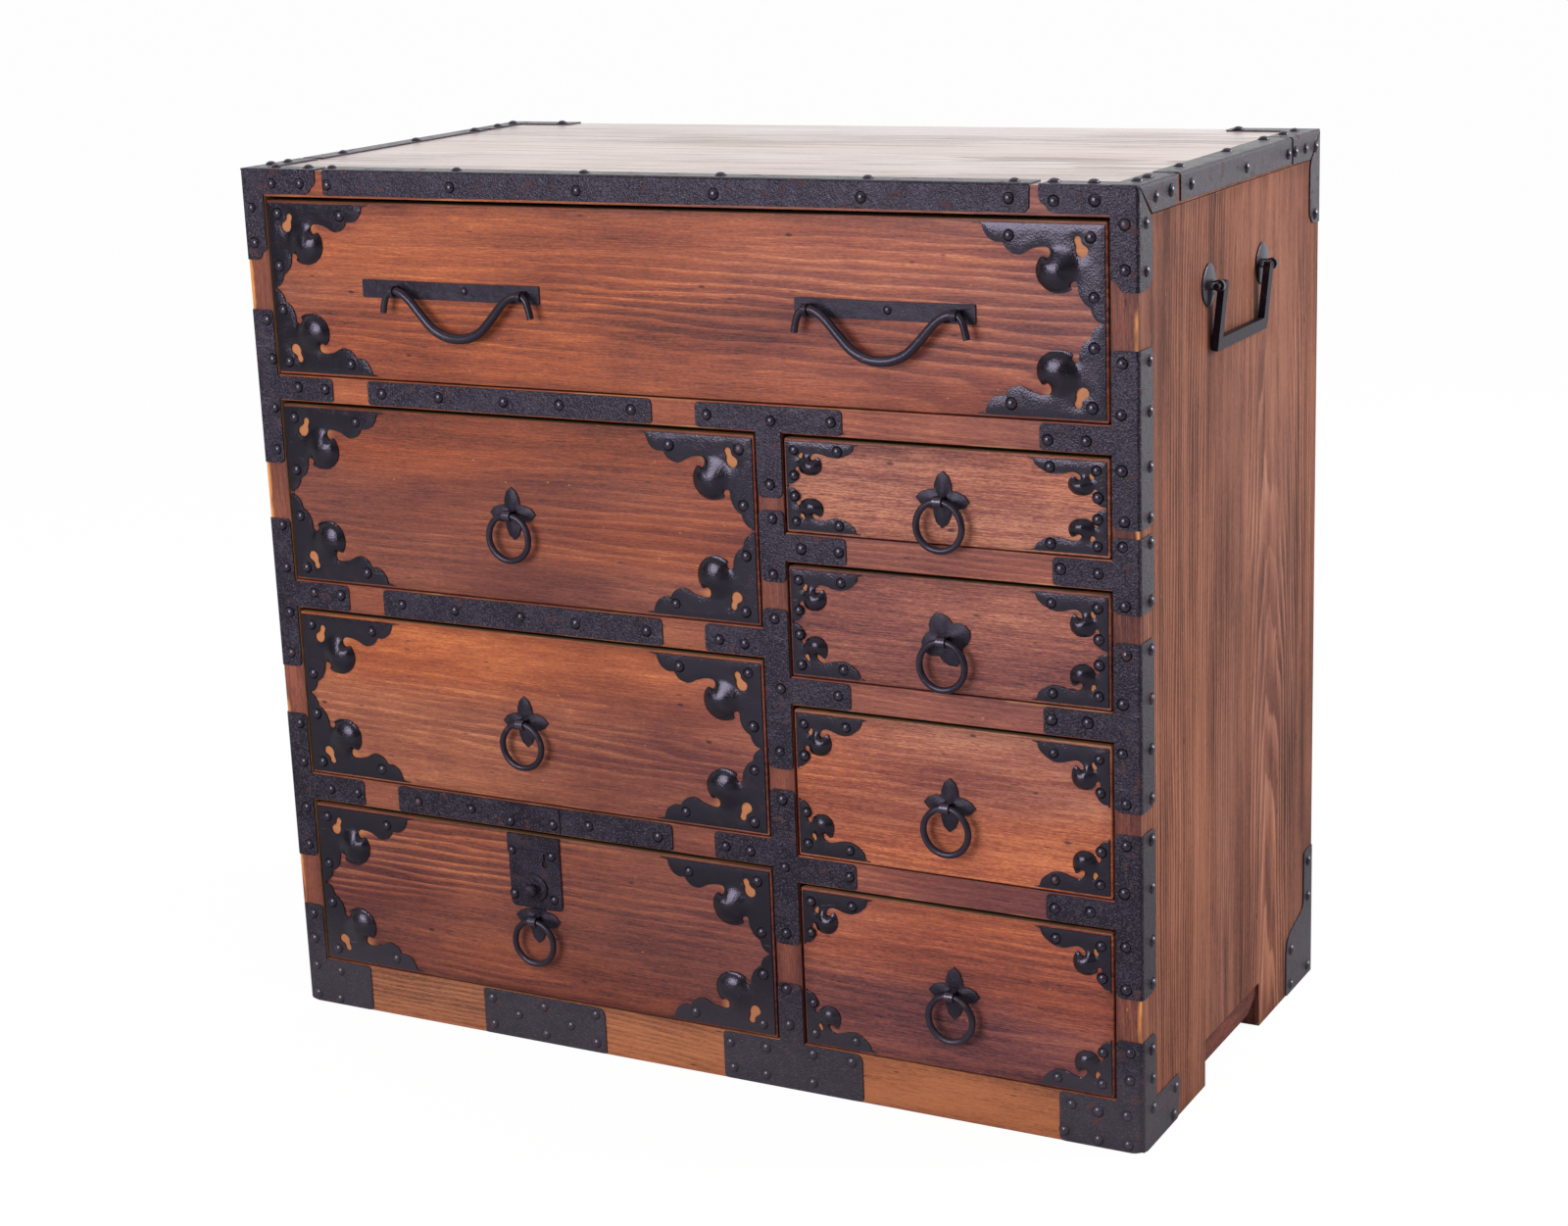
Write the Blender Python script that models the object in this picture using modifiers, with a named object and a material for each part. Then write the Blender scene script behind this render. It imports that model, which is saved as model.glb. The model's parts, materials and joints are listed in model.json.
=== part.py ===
"""Low chest of eight drawers in oiled softwood, bound with black iron.

One drawer runs the full width. Below it an upright partition parts three wide drawers on the left from four
narrow ones on the right. Iron plates wrap the case's corners and joints, cut-out plates guard the corners of
each drawer, and every drawer is drawn by a ring or by two bails.

Lengths are in metres. The chest stands on Z = 0 with +Z up. +X runs along the width, and -Y is the way the
drawers come out. The origin is the middle of the footprint, with the handles and the irons counted.
"""

import math
from collections import namedtuple

import bmesh
import bpy
from mathutils import Matrix, Vector

# Case: boards, bays and the clearances between them
CASE_WIDTH = 0.900
CASE_DEPTH = 0.465
SIDE_THICKNESS = 0.024
TOP_THICKNESS = 0.025
BACK_THICKNESS = 0.009
PARTITION_THICKNESS = 0.026
FULL_SHELF_THICKNESS = 0.025
BASE_RAIL_HEIGHT = 0.048
BASE_RAIL_THICKNESS = 0.022
BOTTOM_BOARD_THICKNESS = 0.012
TOP_BAY_HEIGHT = 0.1695
LOWER_STACK_HEIGHT = 0.5725
LEFT_BAY_WIDTH = 0.519
LEFT_RAIL_HEIGHT = 0.028
LEFT_MIDDLE_BAY_HEIGHT = 0.1695
LEFT_LOWER_BAY_HEIGHT = 0.1695
RIGHT_RAIL_HEIGHT = 0.0265
RIGHT_SECOND_BAY_HEIGHT = 0.105
RIGHT_THIRD_BAY_HEIGHT = 0.142
RIGHT_LOWER_BAY_HEIGHT = 0.1575
RAIL_DEPTH = 0.032
SHELF_BOARD_THICKNESS = 0.008
GROOVE_DEPTH = 0.006
JOINT_GAP = 0.0003
NOTCH_LENGTH = 0.149
NOTCH_HEIGHT = 0.045
NOTCH_CHAMFER = 0.012
CLEAT_THICKNESS = 0.018
CLEAT_FLOOR_GAP = 0.012
BACK_RAIL_THICKNESS = 0.018

# Drawers
DRAWER_SIDE_GAP = 0.0015
DRAWER_TOP_GAP = 0.0035
DRAWER_FLOOR_GAP = 0.0003
FRONT_LIFT = 0.0012
FRONT_THICKNESS = 0.018
FRONT_CHAMFER = 0.0016
TRAY_WALL = 0.010
TRAY_BOTTOM = 0.007
TRAY_TOP_DROP = 0.006
TRAY_BACK_ROOM = 0.008

# Iron plates nailed to the case
PLATE_THICKNESS = 0.0015
PLATE_SINK = 0.001
PLATE_MARGIN = 0.0004
WING_WIDTH = 0.029
STILE_PLATE_HEIGHT = 0.149
SHORT_PLATE_HEIGHT = 0.065
ARM_LENGTH = 0.064
SHORT_ARM_LENGTH = 0.054
PARTITION_ARM_LENGTH = 0.060
PARTITION_STEM_DROP = 0.058
STRAP_LENGTH = 0.310
BASE_STRAP_LENGTH = 0.139
CORNER_LEG_LENGTH = 0.086
CORNER_DROP = 0.060
CORNER_SIDE_LENGTH = 0.090
STRIP_GAP = 0.008
STRIP_TOP_WIDTH = 0.024
BACK_PLATE_LENGTH = 0.080
BACK_LEG_WIDTH = 0.027
BASE_CORNER_HEIGHT = 0.105
BASE_CORNER_ARM = 0.054
BASE_FOOT_LENGTH = 0.090
BASE_FOOT_HEIGHT = 0.039
BASE_BACK_HEIGHT = 0.134
BASE_BACK_FOOT_HEIGHT = 0.064

# Cut-out plates on the drawers' corners
CORNER_MARGIN = 0.0025
CORNER_CLEARANCE = 0.0025
LARGE_CORNER_WIDTH = 0.108
LARGE_CORNER_HEIGHT = 0.081
SMALL_CORNER_WIDTH = 0.066
SMALL_CORNER_HEIGHT = 0.050
BOSS_HEIGHT = 0.0045
LARGE_CORNER_SHARES = (
    (0, 0), (1.00, 0), (0.97, 0.12), (0.91, 0.18), (0.84, 0.18), (0.77, 0.29), (0.68, 0.30), (0.57, 0.24),
    (0.47, 0.25), (0.44, 0.32), (0.51, 0.33), (0.56, 0.43), (0.55, 0.55), (0.49, 0.66), (0.40, 0.72),
    (0.31, 0.69), (0.25, 0.58), (0.21, 0.64), (0.18, 0.77), (0.11, 0.87), (0.07, 0.96), (0, 1.00),
)
SMALL_CORNER_SHARES = (
    (0, 0), (1.00, 0), (0.96, 0.16), (0.85, 0.28), (0.73, 0.33), (0.56, 0.29), (0.43, 0.26), (0.35, 0.33),
    (0.36, 0.42), (0.47, 0.36), (0.52, 0.45), (0.51, 0.62), (0.42, 0.76), (0.29, 0.76), (0.19, 0.63),
    (0.13, 0.63), (0.13, 0.72), (0.17, 0.80), (0.15, 0.90), (0, 1.00),
)
LARGE_CUTOUT_SHARES = ((0.27, 0.17), (0.27, 0.25), (0.20, 0.34), (0.13, 0.28), (0.18, 0.17), (0.22, 0.15))
LARGE_BOSS_SHARES = (0.40, 0.49, 0.155)
SMALL_BOSS_SHARES = (0.37, 0.55, 0.13)
BOSS_SIDES = 10
BOSS_BANDS = 4

# Ring pulls on cut leaf plates
RING_RADIUS = 0.0215
RING_WIRE_RADIUS = 0.003
RING_SEGMENTS = 22
RING_SIDES = 8
RING_DROP = 0.0035
LEAF_RADIUS = 0.025
LEAF_THICKNESS = 0.002
LEAF_PETALS = 4
LEAF_OUTLINE_SHARES = (1.0, 0.83, 0.62, 0.42, 0.62, 0.83)
TURNED_LEAF_DEGREES = 22
SEAT_GAP = 0.0003
EYE_CLEARANCE = 0.0006
EYE_WIRE_RADIUS = 0.0016
EYE_SEGMENTS = 14
EYE_SIDES = 6
RING_STAND_OFF = 0.0080

# Bails of the full-width drawer
BAIL_SPACING = 0.140
LEFT_BAIL_FROM_END = 0.2165
RIGHT_BAIL_FROM_END = 0.2025
BAIL_RAISE = 0.003
BAIL_DROP = 0.0415
BAIL_RADIUS = 0.0048
BAIL_END_SHARE = 0.66
BAIL_TAPER_POWER = 0.6
BAIL_STAND_OFF = 0.009
BAIL_STRIP_HEIGHT = 0.017
BAIL_STRIP_THICKNESS = 0.002
BAIL_STRIP_OVERHANG = 0.015
LEFT_STRIP_TAIL = 0.040
BAIL_CURL_LENGTH = 0.020
BAIL_CURL_SPREAD = 0.011
BAIL_PATH_SHARES = ((1.00, 0), (0.88, 0.02), (0.74, 0.17), (0.57, 0.48), (0.38, 0.80), (0.19, 0.96), (0, 1.00))
BAIL_CURL_SHARES = ((1.00, 1.00), (0.80, 0.55), (0.52, 0.14))
BAIL_STEPS = 2
POST_RADIUS = 0.0030
POST_SIDES = 10

# Lifting handles on the sides
SIDE_PULL_BELOW_TOP = 0.102
SIDE_PULL_DROP = 0.0525
SIDE_BAIL_SPAN = 0.119
SIDE_BAR_WIDTH = 0.011
SIDE_LEG_CLEARANCE = 0.0027
SIDE_BAR_THICKNESS = 0.0063
SIDE_PIN_RADIUS = 0.0030
SIDE_PIN_REACH = 0.009
SIDE_STAND_OFF = 0.0078
ROSETTE_RADIUS = 0.0175
ROSETTE_THICKNESS = 0.002
ROSETTE_SIDES = 20

# Lock on the lowest wide drawer
LOCK_WIDTH = 0.058
LOCK_HEIGHT = 0.0735
LOCK_THICKNESS = 0.002
LOCK_SEAM_HEIGHT = 0.0585
LOCK_SEAM_DEPTH = 0.0006
LOCK_EDGE_MARGIN = 0.0006
KNOB_HEIGHT = 0.021
KNOB_DISC_RADIUS = 0.0138
KNOB_DISC_THICKNESS = 0.0025
KNOB_NECK_RADIUS = 0.0050
KNOB_HEAD_RADIUS = 0.0072
KNOB_LENGTH = 0.014
KNOB_SHANK_RADIUS = 0.0040
KNOB_SIDES = 20
SHANK_CLEARANCE = 0.0004
KEYHOLE_OFFSET = 0.012
KEYHOLE_HEIGHT = 0.0457
KEYHOLE_RADIUS = 0.0036
KEYHOLE_SLOT_WIDTH = 0.0034
KEYHOLE_SLOT_RISE = 0.012
LOCK_CASE_WIDTH = 0.056
LOCK_CASE_HEIGHT = 0.062
LOCK_CASE_THICKNESS = 0.014
LOCK_CASE_DROP = 0.004
LOCK_BOLT_WIDTH = 0.016
LOCK_BOLT_THICKNESS = 0.006
KEEPER_WIDTH = 0.060
KEEPER_MARGIN = 0.002

# One overrun serves every cut
OVERRUN = 0.004
WELD_DISTANCE = 0.000001
SMOOTH_DEGREES = 40
PLATE_TURNS = {"X": (math.pi / 2, 0, math.pi / 2), "Y": (math.pi / 2, 0, 0), "Z": (0, 0, 0)}

# Places worked out from the sizes above
EYE_WALL = EYE_CLEARANCE + 2 * EYE_WIRE_RADIUS
FRONT_REACH = max(
    SEAT_GAP + BAIL_STRIP_THICKNESS + BAIL_STAND_OFF + BAIL_RADIUS * BAIL_END_SHARE + EYE_WALL,
    SEAT_GAP + BAIL_STRIP_THICKNESS + BAIL_STAND_OFF + BAIL_RADIUS,
    SEAT_GAP + LEAF_THICKNESS + RING_STAND_OFF + RING_WIRE_RADIUS + EYE_WALL,
    SEAT_GAP + LOCK_THICKNESS + SEAT_GAP + KNOB_LENGTH,
)
SIDE_PULL_SPACING = SIDE_BAIL_SPAN + SIDE_BAR_WIDTH + 2 * (SIDE_LEG_CLEARANCE + EYE_WIRE_RADIUS)
CASE_FRONT = (FRONT_REACH - PLATE_THICKNESS - CASE_DEPTH) / 2
CASE_BACK = CASE_FRONT + CASE_DEPTH
OUTER_X = CASE_WIDTH / 2
INNER_X = OUTER_X - SIDE_THICKNESS
PARTITION_LEFT = LEFT_BAY_WIDTH - INNER_X
PARTITION_RIGHT = PARTITION_LEFT + PARTITION_THICKNESS
LEFT_BAY_X = (PARTITION_LEFT - INNER_X) / 2
STACK_BOTTOM = BASE_RAIL_HEIGHT
STACK_TOP = STACK_BOTTOM + LOWER_STACK_HEIGHT
TOP_BAY_BOTTOM = STACK_TOP + FULL_SHELF_THICKNESS
TOP_UNDERSIDE = TOP_BAY_BOTTOM + TOP_BAY_HEIGHT
CASE_TOP = TOP_UNDERSIDE + TOP_THICKNESS
PANEL_FRONT = CASE_BACK - BACK_THICKNESS

Rail = namedtuple("Rail", "name low high")
Bay = namedtuple("Bay", "name left right low high corners leaf_turn")


def stacked_rails(names, heights, rail_height):
    """Rails of a stack of bays, lowest first, from the heights of the bays under each of them."""
    rails, low = [], STACK_BOTTOM
    for name, height in zip(names, heights):
        rails.append(Rail(name, low + height, low + height + rail_height))
        low = rails[-1].high
    return rails


LEFT_RAILS = stacked_rails(
    ("left_shelf_lower", "left_shelf_upper"),
    (LEFT_LOWER_BAY_HEIGHT, LEFT_MIDDLE_BAY_HEIGHT),
    LEFT_RAIL_HEIGHT,
)
RIGHT_RAILS = stacked_rails(
    ("right_shelf_lower", "right_shelf_middle", "right_shelf_upper"),
    (RIGHT_LOWER_BAY_HEIGHT, RIGHT_THIRD_BAY_HEIGHT, RIGHT_SECOND_BAY_HEIGHT),
    RIGHT_RAIL_HEIGHT,
)
BAYS = (
    Bay("top_drawer", -INNER_X, INNER_X, TOP_BAY_BOTTOM, TOP_UNDERSIDE, "large", 0),
    Bay("left_upper_drawer", -INNER_X, PARTITION_LEFT, LEFT_RAILS[1].high, STACK_TOP, "large", 0),
    Bay("left_middle_drawer", -INNER_X, PARTITION_LEFT, LEFT_RAILS[0].high, LEFT_RAILS[1].low, "large", 0),
    Bay("left_lower_drawer", -INNER_X, PARTITION_LEFT, STACK_BOTTOM, LEFT_RAILS[0].low, "large", 0),
    Bay("right_upper_drawer", PARTITION_RIGHT, INNER_X, RIGHT_RAILS[2].high, STACK_TOP, "small", 0),
    Bay("right_second_drawer", PARTITION_RIGHT, INNER_X, RIGHT_RAILS[1].high, RIGHT_RAILS[2].low, "small",
        TURNED_LEAF_DEGREES),
    Bay("right_third_drawer", PARTITION_RIGHT, INNER_X, RIGHT_RAILS[0].high, RIGHT_RAILS[1].low, "small", 0),
    Bay("right_lower_drawer", PARTITION_RIGHT, INNER_X, STACK_BOTTOM, RIGHT_RAILS[0].low, "small", 0),
)
LOCKED_DRAWER = "left_lower_drawer"

parts = None
cutters = None


def start_collections():
    """Clear the scene and make the collections for the pieces and for what cuts or joins them."""
    global parts, cutters
    for item in list(bpy.data.objects):
        bpy.data.objects.remove(item, do_unlink=True)
    parts = bpy.data.collections.new("drawer_chest")
    cutters = bpy.data.collections.new("drawer_chest_cutters")
    bpy.context.scene.collection.children.link(parts)
    bpy.context.scene.collection.children.link(cutters)


def principled(name, colour, roughness, metallic=0.0):
    """Material with one colour, roughness and metallic value."""
    material = bpy.data.materials.new(name)
    material.use_nodes = True
    shader = material.node_tree.nodes["Principled BSDF"]
    shader.inputs["Base Color"].default_value = (*colour, 1.0)
    shader.inputs["Roughness"].default_value = roughness
    shader.inputs["Metallic"].default_value = metallic
    material.diffuse_color = (*colour, 1.0)
    return material


def make_materials():
    """Finishes of the chest, by the name of what they cover."""
    return {
        "drawer_wood": principled("drawer_wood", (0.25, 0.085, 0.045), 0.45),
        "case_wood": principled("case_wood", (0.22, 0.105, 0.075), 0.42),
        "base_wood": principled("base_wood", (0.36, 0.17, 0.065), 0.5),
        "inner_wood": principled("inner_wood", (0.42, 0.27, 0.15), 0.65),
        "iron": principled("iron", (0.022, 0.023, 0.028), 0.42, 0.7),
    }


def piece_from_bmesh(name, mesh_data, material, place=(0, 0, 0), cutter=False):
    """Named object for a finished bmesh, at its place and in its collection."""
    mesh = bpy.data.meshes.new(name)
    mesh_data.to_mesh(mesh)
    mesh_data.free()
    return add_piece(name, mesh, material, place, cutter)


def add_piece(name, mesh, material, place=(0, 0, 0), cutter=False):
    """Object with a mesh and one material, among the pieces or among the cutters."""
    if not mesh.materials:
        mesh.materials.append(material)
    piece = bpy.data.objects.new(name, mesh)
    piece.location = place
    if cutter:
        cutters.objects.link(piece)
        piece.hide_render = True
        piece.display_type = "WIRE"
    else:
        parts.objects.link(piece)
    return piece


def block(name, low, high, material, cutter=False):
    """Box between two corners, with its own middle as origin."""
    low, high = Vector(low), Vector(high)
    shape = bmesh.new()
    bmesh.ops.create_cube(shape, size=1)
    bmesh.ops.scale(shape, vec=high - low, verts=shape.verts)
    return piece_from_bmesh(name, shape, material, (low + high) / 2, cutter)


def rod(name, radius, start, end, sides, material, cutter=False):
    """Round rod from one point to another."""
    start, end = Vector(start), Vector(end)
    run = end - start
    shape = bmesh.new()
    bmesh.ops.create_cone(
        shape, cap_ends=True, segments=sides, radius1=radius, radius2=radius, depth=run.length,
        matrix=run.to_track_quat("Z", "Y").to_matrix().to_4x4(),
    )
    rod_piece = piece_from_bmesh(name, shape, material, (start + end) / 2, cutter)
    rod_piece.data.shade_smooth()
    rod_piece.data.set_sharp_from_angle(angle=math.radians(SMOOTH_DEGREES))
    return rod_piece


def torus(name, radius, wire_radius, segments, sides, place, turn, material, cutter=False):
    """Ring whose axis is Z before it is turned."""
    bpy.ops.mesh.primitive_torus_add(
        major_radius=radius, minor_radius=wire_radius, major_segments=segments, minor_segments=sides,
    )
    made = bpy.context.object
    mesh = made.data
    bpy.data.objects.remove(made, do_unlink=True)
    mesh.transform(Matrix.Rotation(turn[0], 4, "X") @ Matrix.Rotation(turn[1], 4, "Y"))
    mesh.name = name
    mesh.shade_smooth()
    return add_piece(name, mesh, material, place, cutter)


def flat_plate(name, outlines, thickness, place, material, cutter=False, square_to="Y"):
    """Plate square to an axis, cut to outlines in the other two; an outline inside another is a hole."""
    drawing = bpy.data.curves.new(name + "_outline", "CURVE")
    drawing.dimensions = "2D"
    drawing.fill_mode = "BOTH"
    drawing.extrude = thickness / 2
    for outline in outlines:
        spline = drawing.splines.new("POLY")
        spline.points.add(len(outline) - 1)
        for point, (across, along) in zip(spline.points, outline):
            point.co = (across, along, 0, 1)
        spline.use_cyclic_u = True
    guide = bpy.data.objects.new(name + "_outline", drawing)
    guide.rotation_euler = PLATE_TURNS[square_to]
    guide.location = place
    cutters.objects.link(guide)
    return mesh_from_curve(name, guide, material, cutter)


def mesh_from_curve(name, guide, material, cutter=False):
    """Closed mesh piece in place of a curve object, which is removed."""
    bpy.context.view_layer.update()
    evaluated = guide.evaluated_get(bpy.context.evaluated_depsgraph_get())
    mesh = bpy.data.meshes.new_from_object(evaluated)
    mesh.name = name
    shape = bmesh.new()
    shape.from_mesh(mesh)
    bmesh.ops.remove_doubles(shape, verts=shape.verts, dist=WELD_DISTANCE)
    bmesh.ops.recalc_face_normals(shape, faces=shape.faces)
    shape.to_mesh(mesh)
    shape.free()
    place = guide.matrix_world.copy()
    bpy.data.objects.remove(guide, do_unlink=True)
    piece = add_piece(name, mesh, material, cutter=cutter)
    piece.matrix_world = place
    return piece


def combine(piece, other, operation):
    """Boolean of a piece with a cutter, which keeps the cutter's material on the faces it leaves."""
    modifier = piece.modifiers.new(other.name, "BOOLEAN")
    modifier.operation = operation
    modifier.solver = "EXACT"
    modifier.material_mode = "TRANSFER"
    modifier.object = other
    return piece


def join(piece, other):
    """Make another shape one body with the piece."""
    return combine(piece, other, "UNION")


def cut(piece, other):
    """Take another shape out of the piece."""
    return combine(piece, other, "DIFFERENCE")


def carry(carrier, *pieces):
    """Hang pieces on an empty, with their places in the chest kept."""
    for piece in pieces:
        piece.parent = carrier
        piece.location = piece.location - carrier.location


def iron_box(board, label, low, high, finishes):
    """Iron plate on a board, drawn as the box that it and the wood behind it fill."""
    return join(board, block(f"{board.name}_{label}", low, high, finishes["iron"], cutter=True))


def front_iron(board, label, left, right, low, high, finishes):
    """Iron plate on a board's front edge, let into the wood by its sink."""
    return iron_box(
        board, label, (left, CASE_FRONT - PLATE_THICKNESS, low), (right, CASE_FRONT + PLATE_SINK, high), finishes,
    )


def rail_iron(board, label, left, right, rail, finishes):
    """Iron plate that covers a rail's height."""
    return front_iron(board, label, left, right, rail.low + PLATE_MARGIN, rail.high - PLATE_MARGIN, finishes)


def side_reach(side, inner, outer):
    """Lowest and highest x of a span on one side, given by its distances from the chest's middle."""
    return (inner, outer) if side > 0 else (-outer, -inner)


def angle_outline(corner, ways, reach, widths):
    """Outline of an L from its outer corner, by the ways that it runs, its reach and its arms' widths."""
    steps = ((0, 0), (reach[0], 0), (reach[0], widths[1]), widths, (widths[0], reach[1]), (0, reach[1]))
    return [(corner[0] + ways[0] * u, corner[1] + ways[1] * v) for u, v in steps]


def wrap_iron(board, label, side, low, high, wing, finishes):
    """Iron plate bent round a side board's front edge, with its wing on the board's outer face."""
    left, right = side_reach(side, INNER_X + PLATE_MARGIN, OUTER_X + PLATE_THICKNESS)
    return iron_box(
        board, label, (left, CASE_FRONT - PLATE_THICKNESS, low), (right, CASE_FRONT + wing, high), finishes,
    )


def back_iron(board, label, side, low, high, length, finishes):
    """Iron plate bent round a side board's back edge."""
    left, right = side_reach(side, INNER_X + PLATE_MARGIN, OUTER_X + PLATE_THICKNESS)
    return iron_box(
        board, label, (left, CASE_BACK - length, low), (right, CASE_BACK + PLATE_THICKNESS, high), finishes,
    )


def foot_iron(board, label, side, edge, way, reach, widths, finishes):
    """L-shaped iron bent round the foot of a side board, from its front or its back edge."""
    left, right = side_reach(side, INNER_X + PLATE_MARGIN, OUTER_X + PLATE_THICKNESS)
    outline = angle_outline(
        (edge - way * PLATE_THICKNESS, PLATE_MARGIN), (way, 1),
        (reach[0] + PLATE_THICKNESS, reach[1] - PLATE_MARGIN),
        (widths[0] + PLATE_THICKNESS, widths[1] - PLATE_MARGIN),
    )
    return join(board, flat_plate(
        f"{board.name}_{label}", [outline], right - left, ((left + right) / 2, 0, 0), finishes["iron"],
        cutter=True, square_to="X",
    ))


def groove(board, side_of_board, face_x, low, high, finishes):
    """Groove along a board's face for a shelf's edge, from behind the rail to the back."""
    near = face_x - side_of_board * OVERRUN
    far = face_x + side_of_board * GROOVE_DEPTH
    slot = block(
        f"{board.name}_groove_{len(board.modifiers)}",
        (min(near, far), CASE_FRONT + RAIL_DEPTH - JOINT_GAP, low - JOINT_GAP),
        (max(near, far), PANEL_FRONT, high + JOINT_GAP),
        finishes["inner_wood"], cutter=True,
    )
    return cut(board, slot)


def notch_cutter(name, finishes):
    """Low opening in a side board's foot, with its two upper corners cut across."""
    middle = (CASE_FRONT + CASE_BACK) / 2
    half = NOTCH_LENGTH / 2
    shape = bmesh.new()
    bmesh.ops.create_cube(shape, size=1)
    bmesh.ops.scale(
        shape, vec=(CASE_WIDTH + OVERRUN, half * 2, NOTCH_HEIGHT + OVERRUN), verts=shape.verts,
    )
    upper = [
        edge for edge in shape.edges
        if all(vert.co.z > 0 for vert in edge.verts) and edge.verts[0].co.y * edge.verts[1].co.y > 0
        and edge.verts[0].co.x * edge.verts[1].co.x < 0
    ]
    bmesh.ops.bevel(shape, geom=upper, offset=NOTCH_CHAMFER, segments=1, profile=0.5, affect="EDGES", material=-1)
    return piece_from_bmesh(
        name, shape, finishes["case_wood"], (0, middle, (NOTCH_HEIGHT - OVERRUN) / 2), cutter=True,
    )


def side_board(name, side, rails, finishes):
    """Side board with its foot notch, shelf grooves and wrapped irons."""
    left, right = side_reach(side, INNER_X, OUTER_X)
    board = block(
        name, (left, CASE_FRONT, 0), (right, CASE_BACK, TOP_UNDERSIDE - JOINT_GAP), finishes["case_wood"],
    )
    cut(board, notch_cutter(name + "_notch", finishes))
    short = RIGHT_RAILS[2]
    for index, rail in enumerate((*rails, Rail("full_shelf", STACK_TOP, TOP_BAY_BOTTOM))):
        height = SHORT_PLATE_HEIGHT if rail == short else STILE_PLATE_HEIGHT
        middle = (rail.low + rail.high) / 2
        wrap_iron(board, f"plate_{index}", side, middle - height / 2, middle + height / 2, WING_WIDTH, finishes)
    top = TOP_UNDERSIDE - JOINT_GAP - PLATE_MARGIN
    wrap_iron(board, "corner", side, top - CORNER_DROP, top, WING_WIDTH, finishes)
    back_iron(board, "back_corner", side, top - CORNER_DROP, top, BACK_LEG_WIDTH, finishes)
    foot_iron(board, "front_foot", side, CASE_FRONT, 1, (BASE_FOOT_LENGTH, BASE_CORNER_HEIGHT),
              (WING_WIDTH, BASE_FOOT_HEIGHT), finishes)
    foot_iron(board, "back_foot", side, CASE_BACK, -1, (BACK_PLATE_LENGTH, BASE_BACK_HEIGHT),
              (BACK_LEG_WIDTH, BASE_BACK_FOOT_HEIGHT), finishes)

    face_x = side * INNER_X
    for rail in rails:
        groove(board, side, face_x, rail.high - SHELF_BOARD_THICKNESS, rail.high, finishes)
    groove(board, side, face_x, STACK_BOTTOM - BOTTOM_BOARD_THICKNESS, STACK_BOTTOM, finishes)
    return board


def top_board(finishes):
    """Top board with its front strip, corner plates and side strips."""
    board = block(
        "top_board", (-OUTER_X, CASE_FRONT, TOP_UNDERSIDE), (OUTER_X, CASE_BACK, CASE_TOP), finishes["case_wood"],
    )
    low, high = TOP_UNDERSIDE + PLATE_MARGIN, CASE_TOP + PLATE_THICKNESS
    strip_end = OUTER_X - CORNER_LEG_LENGTH - STRIP_GAP
    front = CASE_FRONT - PLATE_THICKNESS
    iron_box(board, "front_strip", (-strip_end, front, low), (strip_end, CASE_FRONT + STRIP_TOP_WIDTH, high),
             finishes)
    side_start = CASE_FRONT + CORNER_SIDE_LENGTH + STRIP_GAP / 2
    side_end = CASE_BACK - BACK_PLATE_LENGTH - STRIP_GAP / 2
    width = STRIP_TOP_WIDTH + PLATE_THICKNESS
    for side in (-1, 1):
        strip = side_reach(side, OUTER_X - STRIP_TOP_WIDTH, OUTER_X + PLATE_THICKNESS)
        iron_box(board, f"side_strip_{side}", (strip[0], side_start, low), (strip[1], side_end, high), finishes)
        for label, edge, way, length in (
            ("front", CASE_FRONT, 1, CORNER_SIDE_LENGTH), ("back", CASE_BACK, -1, BACK_PLATE_LENGTH),
        ):
            outline = angle_outline(
                (side * (OUTER_X + PLATE_THICKNESS), edge - way * PLATE_THICKNESS), (-side, way),
                (CORNER_LEG_LENGTH + PLATE_THICKNESS, length + PLATE_THICKNESS), (width, width),
            )
            join(board, flat_plate(
                f"corner_{label}_{side}", [outline], high - low, (0, 0, (low + high) / 2), finishes["iron"],
                cutter=True, square_to="Z",
            ))
    return board


def partition(finishes):
    """Upright board between the two stacks, with the stems of its T-shaped irons."""
    board = block(
        "centre_partition",
        (PARTITION_LEFT, CASE_FRONT, STACK_BOTTOM + JOINT_GAP),
        (PARTITION_RIGHT, PANEL_FRONT - JOINT_GAP, STACK_TOP - JOINT_GAP),
        finishes["case_wood"],
    )
    for rail in LEFT_RAILS:
        groove(board, 1, PARTITION_LEFT, rail.high - SHELF_BOARD_THICKNESS, rail.high, finishes)
    for rail in RIGHT_RAILS:
        groove(board, -1, PARTITION_RIGHT, rail.high - SHELF_BOARD_THICKNESS, rail.high, finishes)
    left, right = PARTITION_LEFT + PLATE_MARGIN, PARTITION_RIGHT - PLATE_MARGIN
    top, bottom = STACK_TOP - JOINT_GAP - PLATE_MARGIN, STACK_BOTTOM + JOINT_GAP + PLATE_MARGIN
    front_iron(board, "top_stem", left, right, STACK_TOP - PARTITION_STEM_DROP, top, finishes)
    front_iron(board, "base_stem", left, right, bottom, STACK_BOTTOM + PARTITION_STEM_DROP, finishes)
    for index, rail in enumerate(RIGHT_RAILS):
        height = SHORT_PLATE_HEIGHT if index == 2 else STILE_PLATE_HEIGHT
        middle = (rail.low + rail.high) / 2
        front_iron(board, f"plate_{index}", left, right, middle - height / 2, middle + height / 2, finishes)
    return board


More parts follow.
